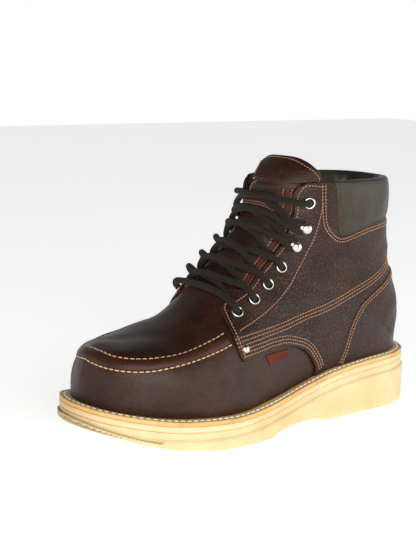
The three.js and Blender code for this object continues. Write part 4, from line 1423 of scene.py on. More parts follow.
@dataclass
class MocSeam:
    """The raised seam round the apron: a rounded roll of leather with a row of thread on each side.

    Its edges run over rows and signed shares of the last, from the lateral end to the toe's middle.

    Attributes:
        rise: Height of the roll.
        inner: Its edge on the apron.
        outer: Its edge on the toe's wall.
    """

    rise: float = 2.5
    inner: Points = ((5.62, -0.432), (5.05, -0.407), (4.12, -0.388), (3.33, -0.385), (2.6, -0.375),
                     (2.12, -0.35),
                     (1.68, -0.277), (1.45, -0.137), (1.4, 0.0))
    outer: Points = ((5.62, -0.535), (4.78, -0.518), (3.93, -0.522), (3.15, -0.542), (2.65, -0.555),
                     (2.18, -0.552),
                     (1.45, -0.492), (0.98, -0.397), (0.55, -0.2), (0.42, 0.0))

    @staticmethod
    def whole(half: Points) -> list[tuple[float, float]]:
        """Carries an edge on round the medial side."""
        return list(half) + [(at, -across) for at, across in half[-2::-1]]

    def build(self, finishes: dict[str, Material]) -> None:
        """Makes the roll, as half an ellipse between its two edges, and its stitches."""
        count, across = 420, 17
        inner, outer = (even_chart(self.whole(edge), count) for edge in (self.inner, self.outer))
        t = np.linspace(0, 1, across)
        chart = inner[:, None] * (1 - t)[None, :, None] + outer[:, None] * t[None, :, None]
        points, outs = LAST.across(chart[..., 0], chart[..., 1])
        ends = np.minimum(np.arange(count), np.arange(count)[::-1])[:, None] / 6
        bulge = np.sqrt(np.maximum(0, 1 - (2 * t - 1) ** 2))[None] * np.sqrt(np.clip(ends, 0, 1))
        middle = np.exp(-((np.linspace(-1, 1, count) / 0.42) ** 2))[:, None]
        top = lifted(points, outs, 0.05 + self.rise * (1 - 0.42 * middle) * bulge)
        bottom = lifted(points, outs, 0.0)
        wear = np.r_[np.broadcast_to(0.42 * bulge, (count, across)).ravel(), np.zeros(count * across)]
        vertices = np.vstack([top.reshape(-1, 3), bottom.reshape(-1, 3)])
        Piece(
            "moc_seam_roll", vertices, slab_faces(count, across), [finishes["vamp"]], ("moc_seam",),
            "upper_leather", values={"edge": wear}, fix_normals=True,
        ).build()
        rows = []
        for beside, edge in ((outer - inner, outer), (inner - outer, inner)):
            line = edge + 0.045 * beside
            points, outs = LAST.across(line[:, 0], line[:, 1])
            rows.append((lifted(points, outs, 0.35), outs))
        Stitching("moc_stitches", pitch=4.3, length=3.5, radius=0.55).build(
            rows, finishes["thread_cream"], "upper_leather"
        )


@dataclass
class PanelSeams:
    """The rows of thread that hold the quarters, counter and collar.

    Attributes:
        lift: Height of the thread over the last, on a single panel.
        waist: Middle of the three rows from the rivet to the heel.
        hem: The lowest of the three rows along the quarter's lower edge.
        heel: The front one of the counter's two rows.
        neck: The inner one of the two rows round the collar.
        stay: The row behind the eyelets.
    """

    lift: float = 2.3
    waist: Points = ((-146.0, 70.6), (-123.9, 73.5), (-96.2, 77.6), (-74.8, 82.1), (-50.3, 86.8),
                     (-39.8, 89.6),
                     (-18.7, 97.1), (-8.2, 101.6), (2.5, 107.1), (18, 113.5), (34, 117.5), (50, 118.5))
    hem: Points = ((-141.7, 61.3), (-121.9, 63.6), (-107.0, 65.3), (-94.4, 65.2), (-85.6, 62.8),
                   (-77.2, 59.6),
                   (-72.2, 55.6), (-67.8, 49.8), (-63.6, 42.6), (-62.6, 40.2))
    heel: Points = ((-39.9, 41.5), (-39.0, 44.4), (-36.2, 51.1), (-29.5, 65.5), (-18.8, 79.1),
                    (-8.7, 87.1), (1.9, 94.6),
                    (20, 103.2), (36, 107.2), (49, 108.4))
    neck: Points = ((-57.3, 180.7), (-56.1, 168.6), (-54.4, 156.7), (-51.6, 148.3), (-46.6, 142.3),
                    (-40.8, 138.5),
                    (-36.3, 138.2), (-31.9, 139.3), (-22.3, 142.2), (-11.5, 144.3), (-1.0, 145.6),
                    (16, 147.2), (49, 147.8))
    stay: Points = ((-139.3, 78.1), (-127.5, 82.1), (-115, 87.0), (-98, 96.4), (-79, 112.6), (-69, 127),
                    (-62.6, 139.6),
                    (-59.6, 150), (-58.4, 160), (-57.8, 168))

    @staticmethod
    def beside(line: Points, gap: float) -> Array:
        """A line moved to its left by a gap, in the wrap chart."""
        smooth = smooth_line(line, step=3.0)
        along = unit(np.gradient(smooth, axis=0))
        return smooth + gap * np.stack([-along[:, 1], along[:, 0]], -1)

    def build(self, finishes: dict[str, Material]) -> None:
        """Makes all the tan rows as one mesh."""
        rows: list[tuple[Array, Array]] = []
        seam = Last.SEAM
        for side in Side:
            rows += [wrap_row(self.beside(self.waist, k), side, self.lift) for k in (-2.5, 0.0, 2.5)]
            rows += [wrap_row(self.beside(self.hem, k), side, self.lift) for k in (0.0, 2.4, 4.8)]
            rows += [wrap_row(self.beside(self.heel, k), side, self.lift + 0.45) for k in (0.0, -2.4)]
            rows += [wrap_row(self.beside(self.neck, k), side, self.lift) for k in (0.0, -2.3)]
            rows.append(wrap_row(self.stay, side, self.lift))
            front = [(s + 2.6, z) for s, z in side_places(QUARTER_FRONT)][2:]
            rows.append(wrap_row(front, side, self.lift))
            edge = [(s + 1.9, z - 1.9) for s, z in side_places(EYESTAY_EDGE)]
            edge[-3:] = [(edge[-3][0] + 1, edge[-3][1]), (-72, 179), (-58.5, 179.4)]
            rows.append(wrap_row(edge, side, self.lift))
            for k in (7.6, 5.2):
                line = [(seam - k, z) for z in (45, 95, 148)]
                rows.append(wrap_row(line, side, self.lift + 1.1))
        Stitching("panel_stitches", pitch=2.55, length=2.0, radius=0.47).build(
            rows, finishes["thread_tan"], "upper_leather"
        )


@dataclass
class Collar:
    """The padded collar, rolled over the shaft's rim, and the half-oval tab at its back.

    Attributes:
        outer: How far the padding swells outwards.
        inner: How far it swells inwards.
        crown: How far its leather stands off the wall at the rim's foot.
        foot: Height of its lower edge at the back.
        top: Height of its rim at the front.
        count: Points round it and round its section.
    """

    outer: float = 1.9
    inner: float = 4.6
    crown: float = 1.7
    foot: float = 151.5
    top: float = 182.8
    count: tuple[int, int] = (300, 72)

    def swell(self, t: Array, fat: float) -> Array:
        """How far its face stands off the wall: a lens sqrt(4t(1-t)) on a flap that closes over the rim."""
        return self.crown * np.sqrt(np.maximum(0, 1 - t**8)) + fat * np.sqrt(np.maximum(0, 4 * t * (1 - t)))

    def build(self, finishes: dict[str, Material]) -> Object:
        """Makes the collar as one closed section carried round the shaft.

        The section goes up the outer face, turns over the rim and comes down the inner face.
        """
        seam = Last.SEAM
        half = self.count[0] // 2 + 1
        walked = np.linspace(0, 1, half)
        low = smooth_line(COLLAR_LOWER[:-1] + ((seam, self.foot),), count=half)
        rim = ((-50.0, self.top), (-20, self.top - 0.2), (20, self.top - 0.6), (seam, self.top - 0.8))
        top = smooth_line(rim, count=half)
        rows = []
        for side in Side:
            t = 0.5 - 0.5 * np.cos(np.linspace(0, np.pi, self.count[1] // 2))
            height = low[:, None, 1] + (top[:, 1] - low[:, 1])[:, None] * t[None]
            across = low[:, None, 0] + (top[:, 0] - low[:, 0])[:, None] * t[None]
            points, outs = LAST.on_wrap(np.stack([across, height], -1), side)
            fade = np.sqrt(np.clip(walked * 30, 0, 1))[:, None]
            ripple = 0.22 * np.sin(across * 0.32 + 1.2 * np.sin(height * 0.13)) * np.sqrt(4 * t * (1 - t))
            outside = points + outs * (0.2 + (self.swell(t, self.outer) + ripple) * fade)[..., None]
            inside = points - outs * (WALL + 0.2 + (self.swell(t, self.inner) - 2 * ripple) * fade)[..., None]
            rows.append(np.concatenate([outside, inside[:, ::-1]], 1))
        loop = np.concatenate([rows[0], rows[1][::-1][1:]])
        count, size = loop.shape[:2]
        faces = grid_faces(count, size, close_columns=True).tolist()
        faces += [list(range(size)), list(range((count - 1) * size, count * size))]
        shown = Piece(
            "collar_padded",
            loop.reshape(-1, 3),
            faces,
            [finishes["collar"]],
            ("collar",),
            "collar_leather",
            values={"edge": np.zeros(count * size)},
            fix_normals=True,
        ).build()
        return shown

    def tab(self, finishes: dict[str, Material]) -> Object:
        """Makes the half-oval tab over the collar's lower edge at the back."""
        seam, half, height, foot = Last.SEAM, 17.5, 18.5, 150.6
        turn = np.linspace(np.pi, 0, 15)
        upper = [(seam + half * math.cos(a), foot + 0.8 + height * math.sin(a) ** 0.8) for a in turn]
        lower = [(seam - half, foot - 2), (seam, foot - 2.4), (seam + half, foot - 2)]
        u, v = graded(90, 0.05), graded(40)
        low, high = Edge([(0, 1, lower)]).at(u), Edge([(0, 1, upper)]).at(u)
        places = low[:, None] + (high - low)[:, None] * v[None, :, None]
        points, outs = LAST.on_wrap(places)
        t = np.clip((places[..., 1] - self.foot) / (self.top - 0.8 - self.foot), 0, 1)
        padding = 0.6 + self.swell(t, self.outer)
        base = 2.4 + (padding - 2.4) * smooth_step((places[..., 1] - 148.5) / 5)
        distance = edge_distance(points)
        top = points + outs * (base + rolled(distance, 1.7, 0.9))[..., None]
        bottom = points + outs * base[..., None]
        values = {"edge": np.r_[np.exp(-distance / 0.8).ravel(), np.ones(distance.size)]}
        vertices = np.vstack([top.reshape(-1, 3), bottom.reshape(-1, 3)])
        return Piece(
            "back_tab_half_oval", vertices, slab_faces(90, 40), [finishes["upper"]], ("back_tab",),
            "upper_leather", values=values, fix_normals=True,
        ).build()


@dataclass
class Tongue:
    """The tongue, with its folded gussets, its lace keeper and its edge rows.

    Attributes:
        top: Height of its face over the last.
        thickness: Its thickness.
        start: Row number at which it starts, under the apron.
        arch: Its top edge, as places from side to side (-1 to 1) and row numbers.
        medial: Its medial side, as row numbers and signed shares of the last.
    """

    top: float = -WALL - 0.5
    thickness: float = 3.6
    start: float = 6.2
    arch: Points = ((-1.0, 21.9), (-0.95, 22.4), (-0.86, 22.75), (-0.7, 23.1), (-0.35, 23.6),
                    (0.1, 23.95), (0.42, 24.0),
                    (0.72, 23.9), (0.9, 23.65), (1.0, 23.2))
    medial: Points = ((6.0, 0.3), (9.0, 0.24), (12.0, 0.19), (15.0, 0.13), (19.3, 0.065), (22.0, 0.055),
                      (22.8, 0.09),
                      (23.4, 0.14), (24.0, 0.15))

    def crown(self, u: Array) -> Array:
        """Row number of its top edge, a rounded arch, from its lateral side (-1) to its medial one (1)."""
        line = smooth_line(self.arch, count=200)
        return np.interp(u, line[:, 0], line[:, 1])

    def between(self, at: Array, u: Array) -> Array:
        """Signed share of the last between its lateral side (-1) and its medial one (1)."""
        line = smooth_line(self.medial, count=200)
        medial = np.interp(at, line[:, 0], line[:, 1])
        lateral = -0.37 - 0.05 * (1 - smooth_step((at - 10.0) / 5))
        return lateral + (medial - lateral) * (u + 1) / 2

    def face(self, at: Array, across: Array) -> Array:
        """Height of its face: a full arch near the top, two soft troughs under the laces, a slow wave."""
        trough = 0.7 * np.exp(-(((at - 8.1) / 0.5) ** 2)) + 0.5 * np.exp(-(((at - 21.0) / 0.5) ** 2))
        full = 1.8 * smooth_step((at - 20.5) / 2.5) * (1 - ((across + 0.1) / 0.4) ** 2)
        return self.top - trough + full + 0.25 * np.sin(at * 1.7 + 9.0 * across)

    def sheet(
        self, name: str, at: Array, across: Array, floor: Array | float, thickness: Array | float,
        roll: float, material: Material, replaces: tuple[str, ...], slot: str,
    ) -> Object:
        """Makes a closed sheet with rounded edges over rows and signed shares.

        Args:
            name: The piece's name.
            at: Row numbers of its grid.
            across: Signed shares of its grid.
            floor: Height of its underside over the last.
            thickness: Its thickness.
            roll: Radius of its rounded edge.
            material: Its material.
            replaces: The solids it stands for.
            slot: Not used, only handed on to the piece.

        Returns:
            The object.
        """
        points, outs = LAST.across(at, across)
        distance = edge_distance(points)
        top = points + outs * (floor + rolled(distance, thickness, roll))[..., None]
        bottom = points + outs * np.broadcast_to(floor, at.shape)[..., None]
        faces = slab_faces(*at.shape)
        values = {"edge": np.r_[np.exp(-distance / 0.8).ravel(), np.ones(at.size)]}
        vertices = np.vstack([top.reshape(-1, 3), bottom.reshape(-1, 3)])
        return Piece(
            name, vertices, faces, [material], replaces, slot, values=values, fix_normals=True
        ).build()

    def build(self, finishes: dict[str, Material]) -> None:
        """Makes the tongue from under the apron to its arched top, and what is sewn on it."""
        v, u = graded(200, 0.05), 2 * graded(90, 0.06) - 1
        at = self.start + (self.crown(u)[None] - self.start) * v[:, None]
        across = self.between(at, u[None])
        thickness = self.thickness - 2.0 * smooth_step((at - 19.5) / 1.5)
        self.sheet(
            "tongue_sheet", at, across, self.face(at, across) - thickness, thickness, 1.4,
            finishes["tongue"], ("tongue",), "tongue_leather",
        )
        at, u = np.meshgrid(np.linspace(6.6, 21.2, 120), np.linspace(-0.15, 1, 30), indexing="ij")
        at = at - 1.6 * u**2 * (at > 14) * (at - 14) / 7
        near = self.between(at, np.ones_like(at))
        across = near + (0.36 - near) * u
        self.sheet(
            "gusset_medial", at, across, -WALL - 6.0 + 2.4 * u, 0.9, 0.4, finishes["lining"], (),
            "tongue_leather",
        )
        threads = []
        line = np.linspace(-0.94, 0.94, 160)
        row = np.r_[np.linspace(12.0, 21.7, 90), self.crown(line) - 0.3]
        threads.append(self.thread(row, self.between(row, np.r_[np.full(90, -0.94), line]), 0.2))
        medial_at = np.linspace(self.crown(0.94) - 0.3, 9.0, 150)
        threads.append(self.thread(medial_at, self.between(medial_at, np.full(150, 0.9)), 0.2))
        at, u = np.meshgrid(np.linspace(13.1, 16.2, 30), np.linspace(0, 1, 60), indexing="ij")
        across = -0.19 + (self.between(at, np.ones_like(at)) + 0.19) * u
        self.sheet(
            "lace_keeper_band", at, across, self.face(at, across) + 0.2, 1.1, 0.7, finishes["tongue"],
            ("lace_keeper",), "upper_leather",
        )
        for row in (13.5, 14.1, 14.9, 15.5):
            threads.append(self.thread(np.full(80, row), np.linspace(-0.18, 0.115, 80), 1.45))
        rows = np.linspace(7.6, 20.2, 170)
        edge_rows, edge = Upper().throat_edge()
        middle = -(1 - np.interp(rows, edge_rows, edge) - 0.045)
        fold_across = middle[:, None] + 0.013 * np.linspace(-1, 1, 9)[None]
        fold_at = np.broadcast_to(rows[:, None], fold_across.shape)
        self.sheet(
            "gusset_fold_lateral", fold_at, fold_across, self.face(fold_at, fold_across) - 0.2, 1.2, 0.6,
            finishes["tag"], (), "tongue_leather",
        )
        threads += [self.thread(rows, middle + gap, 0.2) for gap in (-0.024, 0.026)]
        Stitching("tongue_stitches", pitch=2.6, length=2.05, radius=0.42).build(
            threads, finishes["thread_tan"], "tongue_leather"
        )

    def thread(self, at: Array, across: Array, over: float) -> tuple[Array, Array]:
        """A row of stitches at a height over the tongue's face."""
        points, outs = LAST.across(at, across)
        return points + outs * (self.face(at, across) + over)[..., None], outs


@dataclass
class Fittings:
    """Eyelets, speed hooks and rivets of nickel plate.

    Attributes:
        face: Height of the quarter's face over the last.
        turns: Points round a fitting.
    """

    face: float = 2.1
    turns: int = 56

    def lathe(self, name: str, sections: Sequence[Points], place: Array, out: Array, material, replaces: str,
              beside: Array | None = None) -> Object:
        """Turns sections of radii and heights round a fitting's axis.

        Args:
            name: The piece's name.
            sections: Radii and heights, for the axis itself and then for a neck set off to one side.
            place: Where the axis meets the last.
            out: The axis.
            material: Its metal.
            replaces: The solid it stands for.
            beside: How far off the neck is set.

        Returns:
            The object.
        """
        spin = np.linspace(0, 2 * np.pi, self.turns, endpoint=False)
        right = unit(np.cross(out, [0.0, 0.0, 1.0]))
        above = np.cross(right, out)
        points, faces, first = [], [], 0
        for i, section in enumerate(sections):
            radius, height = np.array(section).T
            ring = np.cos(spin)[:, None, None] * right + np.sin(spin)[:, None, None] * above
            middle = place + (beside if i else 0)
            shape = middle + ring * radius[None, :, None] + out * (self.face + height)[None, :, None]
            points.append(shape.reshape(-1, 3))
            faces.append(grid_faces(self.turns, len(section), close_rows=True, first=first))
            first += self.turns * len(section)
        return Piece(
            name, np.vstack(points), np.vstack(faces), [material], (replaces,), "fitting_metal", weld=0.01,
            fix_normals=True,
        ).build()

    def build(self, finishes: dict[str, Material]) -> None:
        """Makes every fitting on both sides."""
        bend = np.linspace(0, np.pi, 9)
        eyelet = [(2.9, -3.4), (2.9, 0.1)]
        eyelet += [(3.75 - 0.85 * math.cos(a), 0.15 + 0.95 * math.sin(a)) for a in bend]
        eyelet += [(4.6, -0.1), (3.3, -0.1), (3.2, -3.4), (2.9, -3.4)]
        dome = np.linspace(0, np.pi / 2, 9)
        hook = [(0.0, -0.3), (3.4, -0.3), (3.6, 0.3), (2.9, 0.8), (1.3, 1.0), (1.2, 3.0), (3.4, 3.1),
                (4.1, 3.3)]
        hook += [(4.3 * math.cos(a), 3.5 + 2.9 * math.sin(a)) for a in dome]
        neck = [(0.0, 2.7), (1.9, 2.8), (2.5, 3.4), (2.1, 4.4), (1.0, 5.0), (0.0, 5.1)]
        rivet = [(0.0, -0.2)] + [(3.3 * math.cos(a), 0.1 + 1.9 * math.sin(a)) for a in dome]
        for side in Side:
            word = side.name.lower()
            for i, (along, rise, kind) in enumerate(FITTINGS):
                place, out, inward, _ = fitting_frame(i, side)
                name = f"{kind}_{word}_{i + 1}"
                sections = [eyelet] if kind == "eyelet" else [hook, neck]
                self.lathe(f"{name}_plated", sections, place, out, finishes["nickel"], name, inward * 3.6)
            place, out = fitting_place(*RIVET, side)
            self.lathe(f"rivet_{word}_plated", [rivet], place, out, finishes["nickel"], f"rivet_{word}")


@dataclass
class Lacing:
    """The lace, over the throat and through the eyelets: a bar, and crossings that rise row by row.

    Attributes:
        radius: Half the lace's thickness.
        face: Height of the quarter's face over the last.
        tongue: Height of the tongue's face over the last.
        turns: Points round the lace.
        over: For each crossing, which side's strand lies on top.
    """

    radius: float = 2.45
    face: float = 2.1
    tongue: float = Tongue.top
    turns: int = 16
    over: tuple[Side, ...] = (Side.LATERAL,) * 2 + (Side.MEDIAL,) + (Side.LATERAL,) * 3

    def spot(self, row: int, side: Side) -> Array:
        """Row number on the last and signed share from the top line, of a fitting."""
        along, rise, _ = FITTINGS[row]
        at, share = LAST.search(np.array(side_places(((along, rise),))))
        return np.array([at[0], side.value * (1 - share[0])])

    def near(self, row: int, side: Side, offsets: Sequence[tuple[float, float, float]]) -> Array:
        """Points beside a fitting, from offsets inwards, up and over the quarter's face."""
        place, out, inward, up = fitting_frame(row, side)
        step = np.array(offsets)
        return place + step[:, :1] * inward + step[:, 1:2] * up + (self.face + step[:, 2:]) * out

    def leave(self, row: int, side: Side) -> Array:
        """Start of a strand: out from under the throat's edge above an eyelet, or out from under a hook."""
        r = self.radius
        if FITTINGS[row][2] == "hook":
            return self.near(row, side, ((-0.4, 0.0, r), (0.9, 2.2, r), (4.2, 2.9, r), (9.0, 2.0, r + 0.4)))
        here, following = self.spot(row, side), self.spot(row + 1, side)
        at, across = here + 0.2 * (following - here)
        lifts = ((0.93, -5.4), (0.8, -3.4), (0.66, self.tongue + 1.2))
        return np.vstack([raised(np.array([at]), np.array([across * k]), lift) for k, lift in lifts])

    def arrive(self, row: int, side: Side) -> Array:
        """End of a strand: over the throat's edge and down through an eyelet, or in under a hook."""
        r = self.radius
        if FITTINGS[row][2] == "hook":
            return self.near(row, side, ((10.0, -2.4, r + 0.6), (4.6, -3.0, r), (1.0, -2.3, r), (-0.4, 0.0, r)))
        stops = ((9.5, -0.5, r + 0.5), (4.2, -0.2, r + 0.9), (1.0, 0.0, 0.9), (0.0, 0.0, -2.2),
                 (0.0, 0.0, -6.0))
        return self.near(row, side, stops)

    def strand(self, row: int, side: Side, over: float) -> Array:
        """Route of a strand from one side of a row to the next row on the other side."""
        opposite = Side(-side.value)
        start, end = self.spot(row - 1, side), self.spot(row, opposite)
        if FITTINGS[row - 1][2] == "eyelet":
            start = start + 0.2 * (self.spot(row, side) - start)
        stops = []
        for t, lift in ((0.33, 0.5 + 0.35 * over), (0.5, 0.6 + over), (0.67, 1.4 + 0.35 * over)):
            at, across = start + (end - start) * t
            stops.append(raised(np.array([at]), np.array([across]), self.tongue + self.radius + lift))
        return smooth_line(np.vstack([self.leave(row - 1, side), *stops, self.arrive(row, opposite)]), step=1.1)

    def bar(self) -> Array:
        """Route of the bar between the lowest eyelets."""
        left, right = self.arrive(0, Side.LATERAL), self.arrive(0, Side.MEDIAL)
        ends = self.spot(0, Side.LATERAL), self.spot(0, Side.MEDIAL)
        middle = [
            raised(ends[0][:1], ends[0][1:] * (1 - t) + ends[1][1:] * t, self.radius + lift)
            for t, lift in ((0.36, 1.2), (0.5, 0.6), (0.64, 1.2))
        ]
        return smooth_line(np.vstack([left[::-1], *middle, right]), step=1.1)

    def tube(self, path: Array) -> tuple[Array, Array, Array]:
        """A round tube carried along a path, with rounded ends.

        Args:
            path: Points of its middle line.

        Returns:
            Points, faces and, for each point, its place along and round the tube.
        """
        along = unit(np.gradient(path, axis=0))
        up = unit(np.cross(along, np.cross(np.array([0.35, 0.0, 1.0]), along)))
        beside = np.cross(along, up)
        spin = np.linspace(0, 2 * np.pi, self.turns, endpoint=False)
        length = np.r_[0, np.cumsum(np.linalg.norm(np.diff(path, axis=0), axis=1))]
        to_end = np.minimum(length, length[-1] - length)
        girth = self.radius * np.sqrt(np.clip(to_end / self.radius, 0.02, 1))
        ring = np.cos(spin)[None, :, None] * up[:, None] + np.sin(spin)[None, :, None] * beside[:, None]
        points = path[:, None] + ring * girth[:, None, None]
        faces = grid_faces(len(path), self.turns, close_columns=True)
        place = np.stack(np.broadcast_arrays(length[:, None], spin[None] / (2 * np.pi)), -1)
        return points.reshape(-1, 3), faces, place.reshape(-1, 2)

    def build(self, finishes: dict[str, Material]) -> None:
        """Makes the bar and the crossings."""
        groups = {"lace_bar": [self.bar()]}
        for row in range(1, len(FITTINGS)):
            top = Side(-self.over[row - 1].value)
            groups[f"lace_crossing_{row}"] = [
                self.strand(row, side, 2 * self.radius if side is top else 0.0) for side in Side
            ]
        for name, paths in groups.items():
            points, faces, places, first = [], [], [], 0
            for path in paths:
                more, sides, place = self.tube(path)
                points.append(more)
                faces.append(sides + first)
                places.append(place)
                first += len(more)
            shown = Piece(
                f"{name}_braided", np.vstack(points), np.vstack(faces), [finishes["lace"]], (name,),
                "lace_cord", fix_normals=True,
            ).build()
            self.unwrap(shown, np.vstack(places))

    @staticmethod
    def unwrap(shown: Object, places: Array) -> None:
        """Writes the UV map that the braid follows: 2.9 mm strands along, and 4 strands round."""
        layer = shown.data.uv_layers.new(name="cord")
        corners = np.empty(len(shown.data.loops), np.int32)
        shown.data.loops.foreach_get("vertex_index", corners)
        uv = places[corners].copy()
        faces = uv.reshape(-1, 4, 2)
        wrapped = (faces[..., 1].max(1) - faces[..., 1].min(1)) > 0.5
        low = wrapped[:, None] & (faces[..., 1] < 0.25)
        faces[..., 1][low] += 1.0
        faces[..., 0] *= 0.35
        faces[..., 1] *= 4.0
        layer.data.foreach_set("uv", faces.reshape(-1).astype(np.float32))


@dataclass
class Studio:
    """A pale floor, soft lights and the camera at the photograph's angle.

    Attributes:
        azimuth: Direction from the boot to the camera, in degrees from -Y towards the toe.
        elevation: The camera's height over the boot, in degrees.
        roll: Roll of the camera in degrees.
        distance: Distance from the aim to the camera in mm.
        focal: Focal length in pixels of the frame.
        aim: Where the camera looks.
        frame: Width and height of the picture in pixels.
        sensor: Width of the camera's sensor in mm.
        ambient: How strongly the surroundings light the boot.
        glow: How brightly the floor shines of itself, as a lit table of a photo studio does.
    """

    azimuth: float = 35.98
    elevation: float = 11.10
    roll: float = 1.40
    distance: float = 860.1
    focal: float = 1165.4
    aim: tuple[float, float, float] = (-140.67, 0.0, 112.15)
    frame: tuple[int, int] = (416, 555)
    sensor: float = 36.0
    ambient: float = 1.0
    glow: float = 0.68

    def camera(self) -> None:
        """Sets the camera."""
        turn, tilt = math.radians(self.azimuth), math.radians(self.elevation)
        back = Vector((-math.sin(turn) * math.cos(tilt), -math.cos(turn) * math.cos(tilt), math.sin(tilt)))
        right = (-back).cross(Vector((0, 0, 1))).normalized()
        up = right.cross(-back)
        roll = math.radians(self.roll)
        rolled_right = right * math.cos(roll) + up * math.sin(roll)
        rolled_up = up * math.cos(roll) - right * math.sin(roll)
        data = bpy.data.cameras.new("camera")
        data.sensor_width = self.sensor
        data.lens = self.focal / max(self.frame) * self.sensor
        data.clip_start, data.clip_end = 0.01, 50
        shown = bpy.data.objects.new("camera", data)
        bpy.context.scene.collection.objects.link(shown)
        place = (Vector(self.aim) + back * self.distance) * MM
        turned = Matrix((rolled_right, rolled_up, back)).transposed().to_4x4()
        shown.matrix_world = Matrix.Translation(place) @ turned
        bpy.context.scene.camera = shown

    @staticmethod
    def light(name: str, place: Triple, aim: Triple, size: float, power: float) -> None:
        """Adds a square soft white light that faces a point."""
        data = bpy.data.lights.new(name, "AREA")
        data.size, data.energy = size, power
        shown = bpy.data.objects.new(name, data)
        bpy.context.scene.collection.objects.link(shown)
        way = Vector(aim) - Vector(place)
        shown.matrix_world = Matrix.Translation(place) @ way.to_track_quat("-Z", "Y").to_matrix().to_4x4()

    def build(self) -> None:
        """Sets the floor, the lights, the surroundings and the camera."""
        mesh = bpy.data.meshes.new("floor")
        reach = 3.0
        corners = [(-reach, -reach, 0), (reach, -reach, 0), (reach, reach, 0), (-reach, reach, 0)]
        mesh.from_pydata(corners, [], [(0, 1, 2, 3)])
        floor = bpy.data.objects.new("floor", mesh)
        bpy.context.scene.collection.objects.link(floor)
        material, tree, shader = new_material("pale_floor_paint")
        place = add_node(tree, "TexCoord").outputs["Object"]
        cloud = add_node(tree, "TexNoise", Vector=place, Scale=3.0, Detail=3.0).outputs["Fac"]
        tree.links.new(ramp(tree, cloud, ((0.3, "#f2f2f1"), (0.7, "#f7f7f6"))), shader.inputs["Base Color"])
        shader.inputs["Roughness"].default_value = 0.75
        shader.inputs["Emission Color"].default_value = hex_colour("#ffffff")
        shader.inputs["Emission Strength"].default_value = self.glow
        mesh.materials.append(material)
        world = bpy.data.worlds.new("studio")
        bpy.context.scene.world = world
        world.use_nodes = True
        tree = world.node_tree
        background = tree.nodes["Background"]
        way = add_node(tree, "TexCoord").outputs["Generated"]
        height = add_node(tree, "SeparateXYZ", Vector=way).outputs["Z"]
        shade = ramp(tree, height, ((0.1, "#ffffff"), (0.35, "#9c9c9c"), (0.7, "#303030")))
        tree.links.new(shade, background.inputs["Color"])
        background.inputs["Strength"].default_value = self.ambient
        middle = (-0.09, 0.0, 0.09)
        self.light("key", (-0.65, -1.0, 0.36), middle, 0.9, 12.0)
        self.light("fill", (0.8, -0.8, 0.3), middle, 0.8, 4.0)
        bpy.context.scene.view_settings.view_transform = "Standard"
        self.camera()


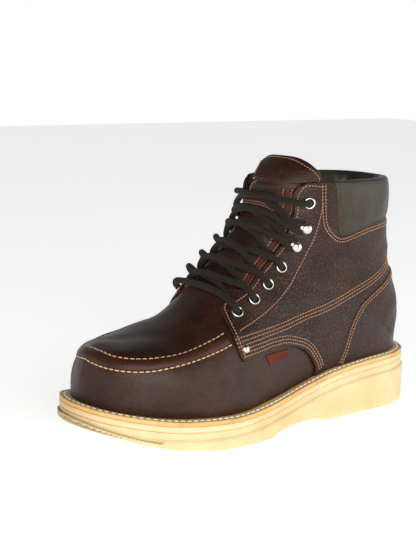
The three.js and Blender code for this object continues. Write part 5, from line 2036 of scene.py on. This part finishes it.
def finishes() -> dict[str, Material]:
    """Makes every finish of the boot."""
    kinds = {
        # Oiled cowhide pulled tight over the toe: dark, waxy gloss, almost no creases
        "vamp": Leather(
            "oiled_vamp_leather", "#28140d", "#351d13", "#44291e", raw="#5e2a1a", cell=1.5, pebble=0.2,
            roughness=0.4, coat=0.05, crease_shade=0.15,
        ),
        # Tumbled cowhide: a coarse pebble with painted shade in its creases, rust red where an edge is cut
        "upper": Leather(
            "tumbled_shaft_leather", "#28150e", "#382015", "#482d20", raw="#662a1a", cell=3.0, pebble=0.5,
            roughness=0.4, coat=0.04, crease_shade=0.6,
        ),
        # The same hide with dyed edges
        "plain": Leather(
            "plain_edge_leather", "#28150e", "#382015", "#482d20", raw="#382015", cell=3.0, pebble=0.5,
            roughness=0.4, coat=0.04, crease_shade=0.6,
        ),
        # Softer, thinner hide with a finer pebble
        "tongue": Leather(
            "tongue_leather", "#28160e", "#382115", "#472d21", raw="#622819", cell=2.2, pebble=0.25,
            roughness=0.42, coat=0.04, crease_shade=0.35,
        ),
        # Smooth coated leather over foam: olive brown and even
        "collar": Leather(
            "smooth_collar_leather", "#2a251c", "#383127", "#443c30", raw="#383127", cell=1.8, pebble=0.14,
            roughness=0.4, coat=0.05, crease_shade=0.15,
        ),
        # Dark matt lining leather
        "lining": Leather(
            "dark_lining_leather", "#221d18", "#2e2822", "#3a332c", raw="#332c26", cell=1.8, pebble=0.08,
            roughness=0.6, coat=0.0, crease_shade=0.2,
        ),
        # Rust-dyed leather with a dull raw face
        "tag": Leather(
            "rust_tag_leather", "#431a0d", "#552214", "#642c1a", raw="#6a3020", cell=1.0, pebble=0.05,
            roughness=0.7, coat=0.0, crease_shade=0.1,
        ),
        # Veg-tanned strip, pale tan with a darker cut edge
        "welt": Leather(
            "tan_welt_leather", "#cc9c58", "#e0b46e", "#eac282", raw="#cf9d55", cell=1.1, pebble=0.05,
            roughness=0.5, coat=0.05, crease_shade=0.05,
        ),
        # Brown fibre board
        "insole": Leather(
            "insole_board", "#4f3a2a", "#6b503b", "#7d6048", raw="#6b503b", cell=1.2, pebble=0.05,
            roughness=0.85, coat=0.0, crease_shade=0.05,
        ),
        # Pressed rubber sheet, matt and pinkish tan
        "midsole": Rubber("tan_midsole_rubber", "#dcbd8d", "#e3c797", "#e9d1a4"),
        # Foamed crepe-like rubber, cream, so light goes a little way in
        "outsole": Rubber(
            "cream_wedge_rubber", "#d8ba84", "#dfc592", "#e5cfa0", roughness=0.55, depth=0.08, glow=2.5
        ),
        # Waxed thread, bright on the pale welt
        "thread_white": Yarn("waxed_white_thread", "#efe6d6", "#fffdf8"),
        # Waxed thread, two cream tones: painted shade between its twisted strands and a painted highlight on
        # them
        "thread_cream": Yarn("waxed_cream_thread", "#b98e58", "#ecd09a"),
        # Waxed thread, a tan painted highlight on top of its strands and brown painted shade between them
        "thread_tan": Yarn("orange_tan_thread", "#80563a", "#c99c78"),
        # Round braid of waxed polyester, with nearly black painted shade between its strands
        "lace": Yarn("braided_lace", "#0b0806", "#2a1f15", braided=True, depth=0.4),
        # Bright nickel plate on pressed brass
        "nickel": Plate("nickel_plate"),
    }
    return {word: kind.build() for word, kind in kinds.items()}


def main() -> None:
    """Builds the boot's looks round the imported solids."""
    logging.basicConfig(level=logging.INFO, format="%(name)s %(message)s")
    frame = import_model()
    dressed = finishes()
    Studio().build()
    Sole().build(dressed)
    Upper().build(dressed)
    MocSeam().build(dressed)
    PanelSeams().build(dressed)
    collar = Collar()
    collar.build(dressed)
    collar.tab(dressed)
    Tongue().build(dressed)
    Fittings().build(dressed)
    Lacing().build(dressed)
    insole = frame["nodes"]["insole"]
    insole.data.materials.clear()
    insole.data.materials.append(dressed["insole"])


if __name__ == "__main__":
    main()
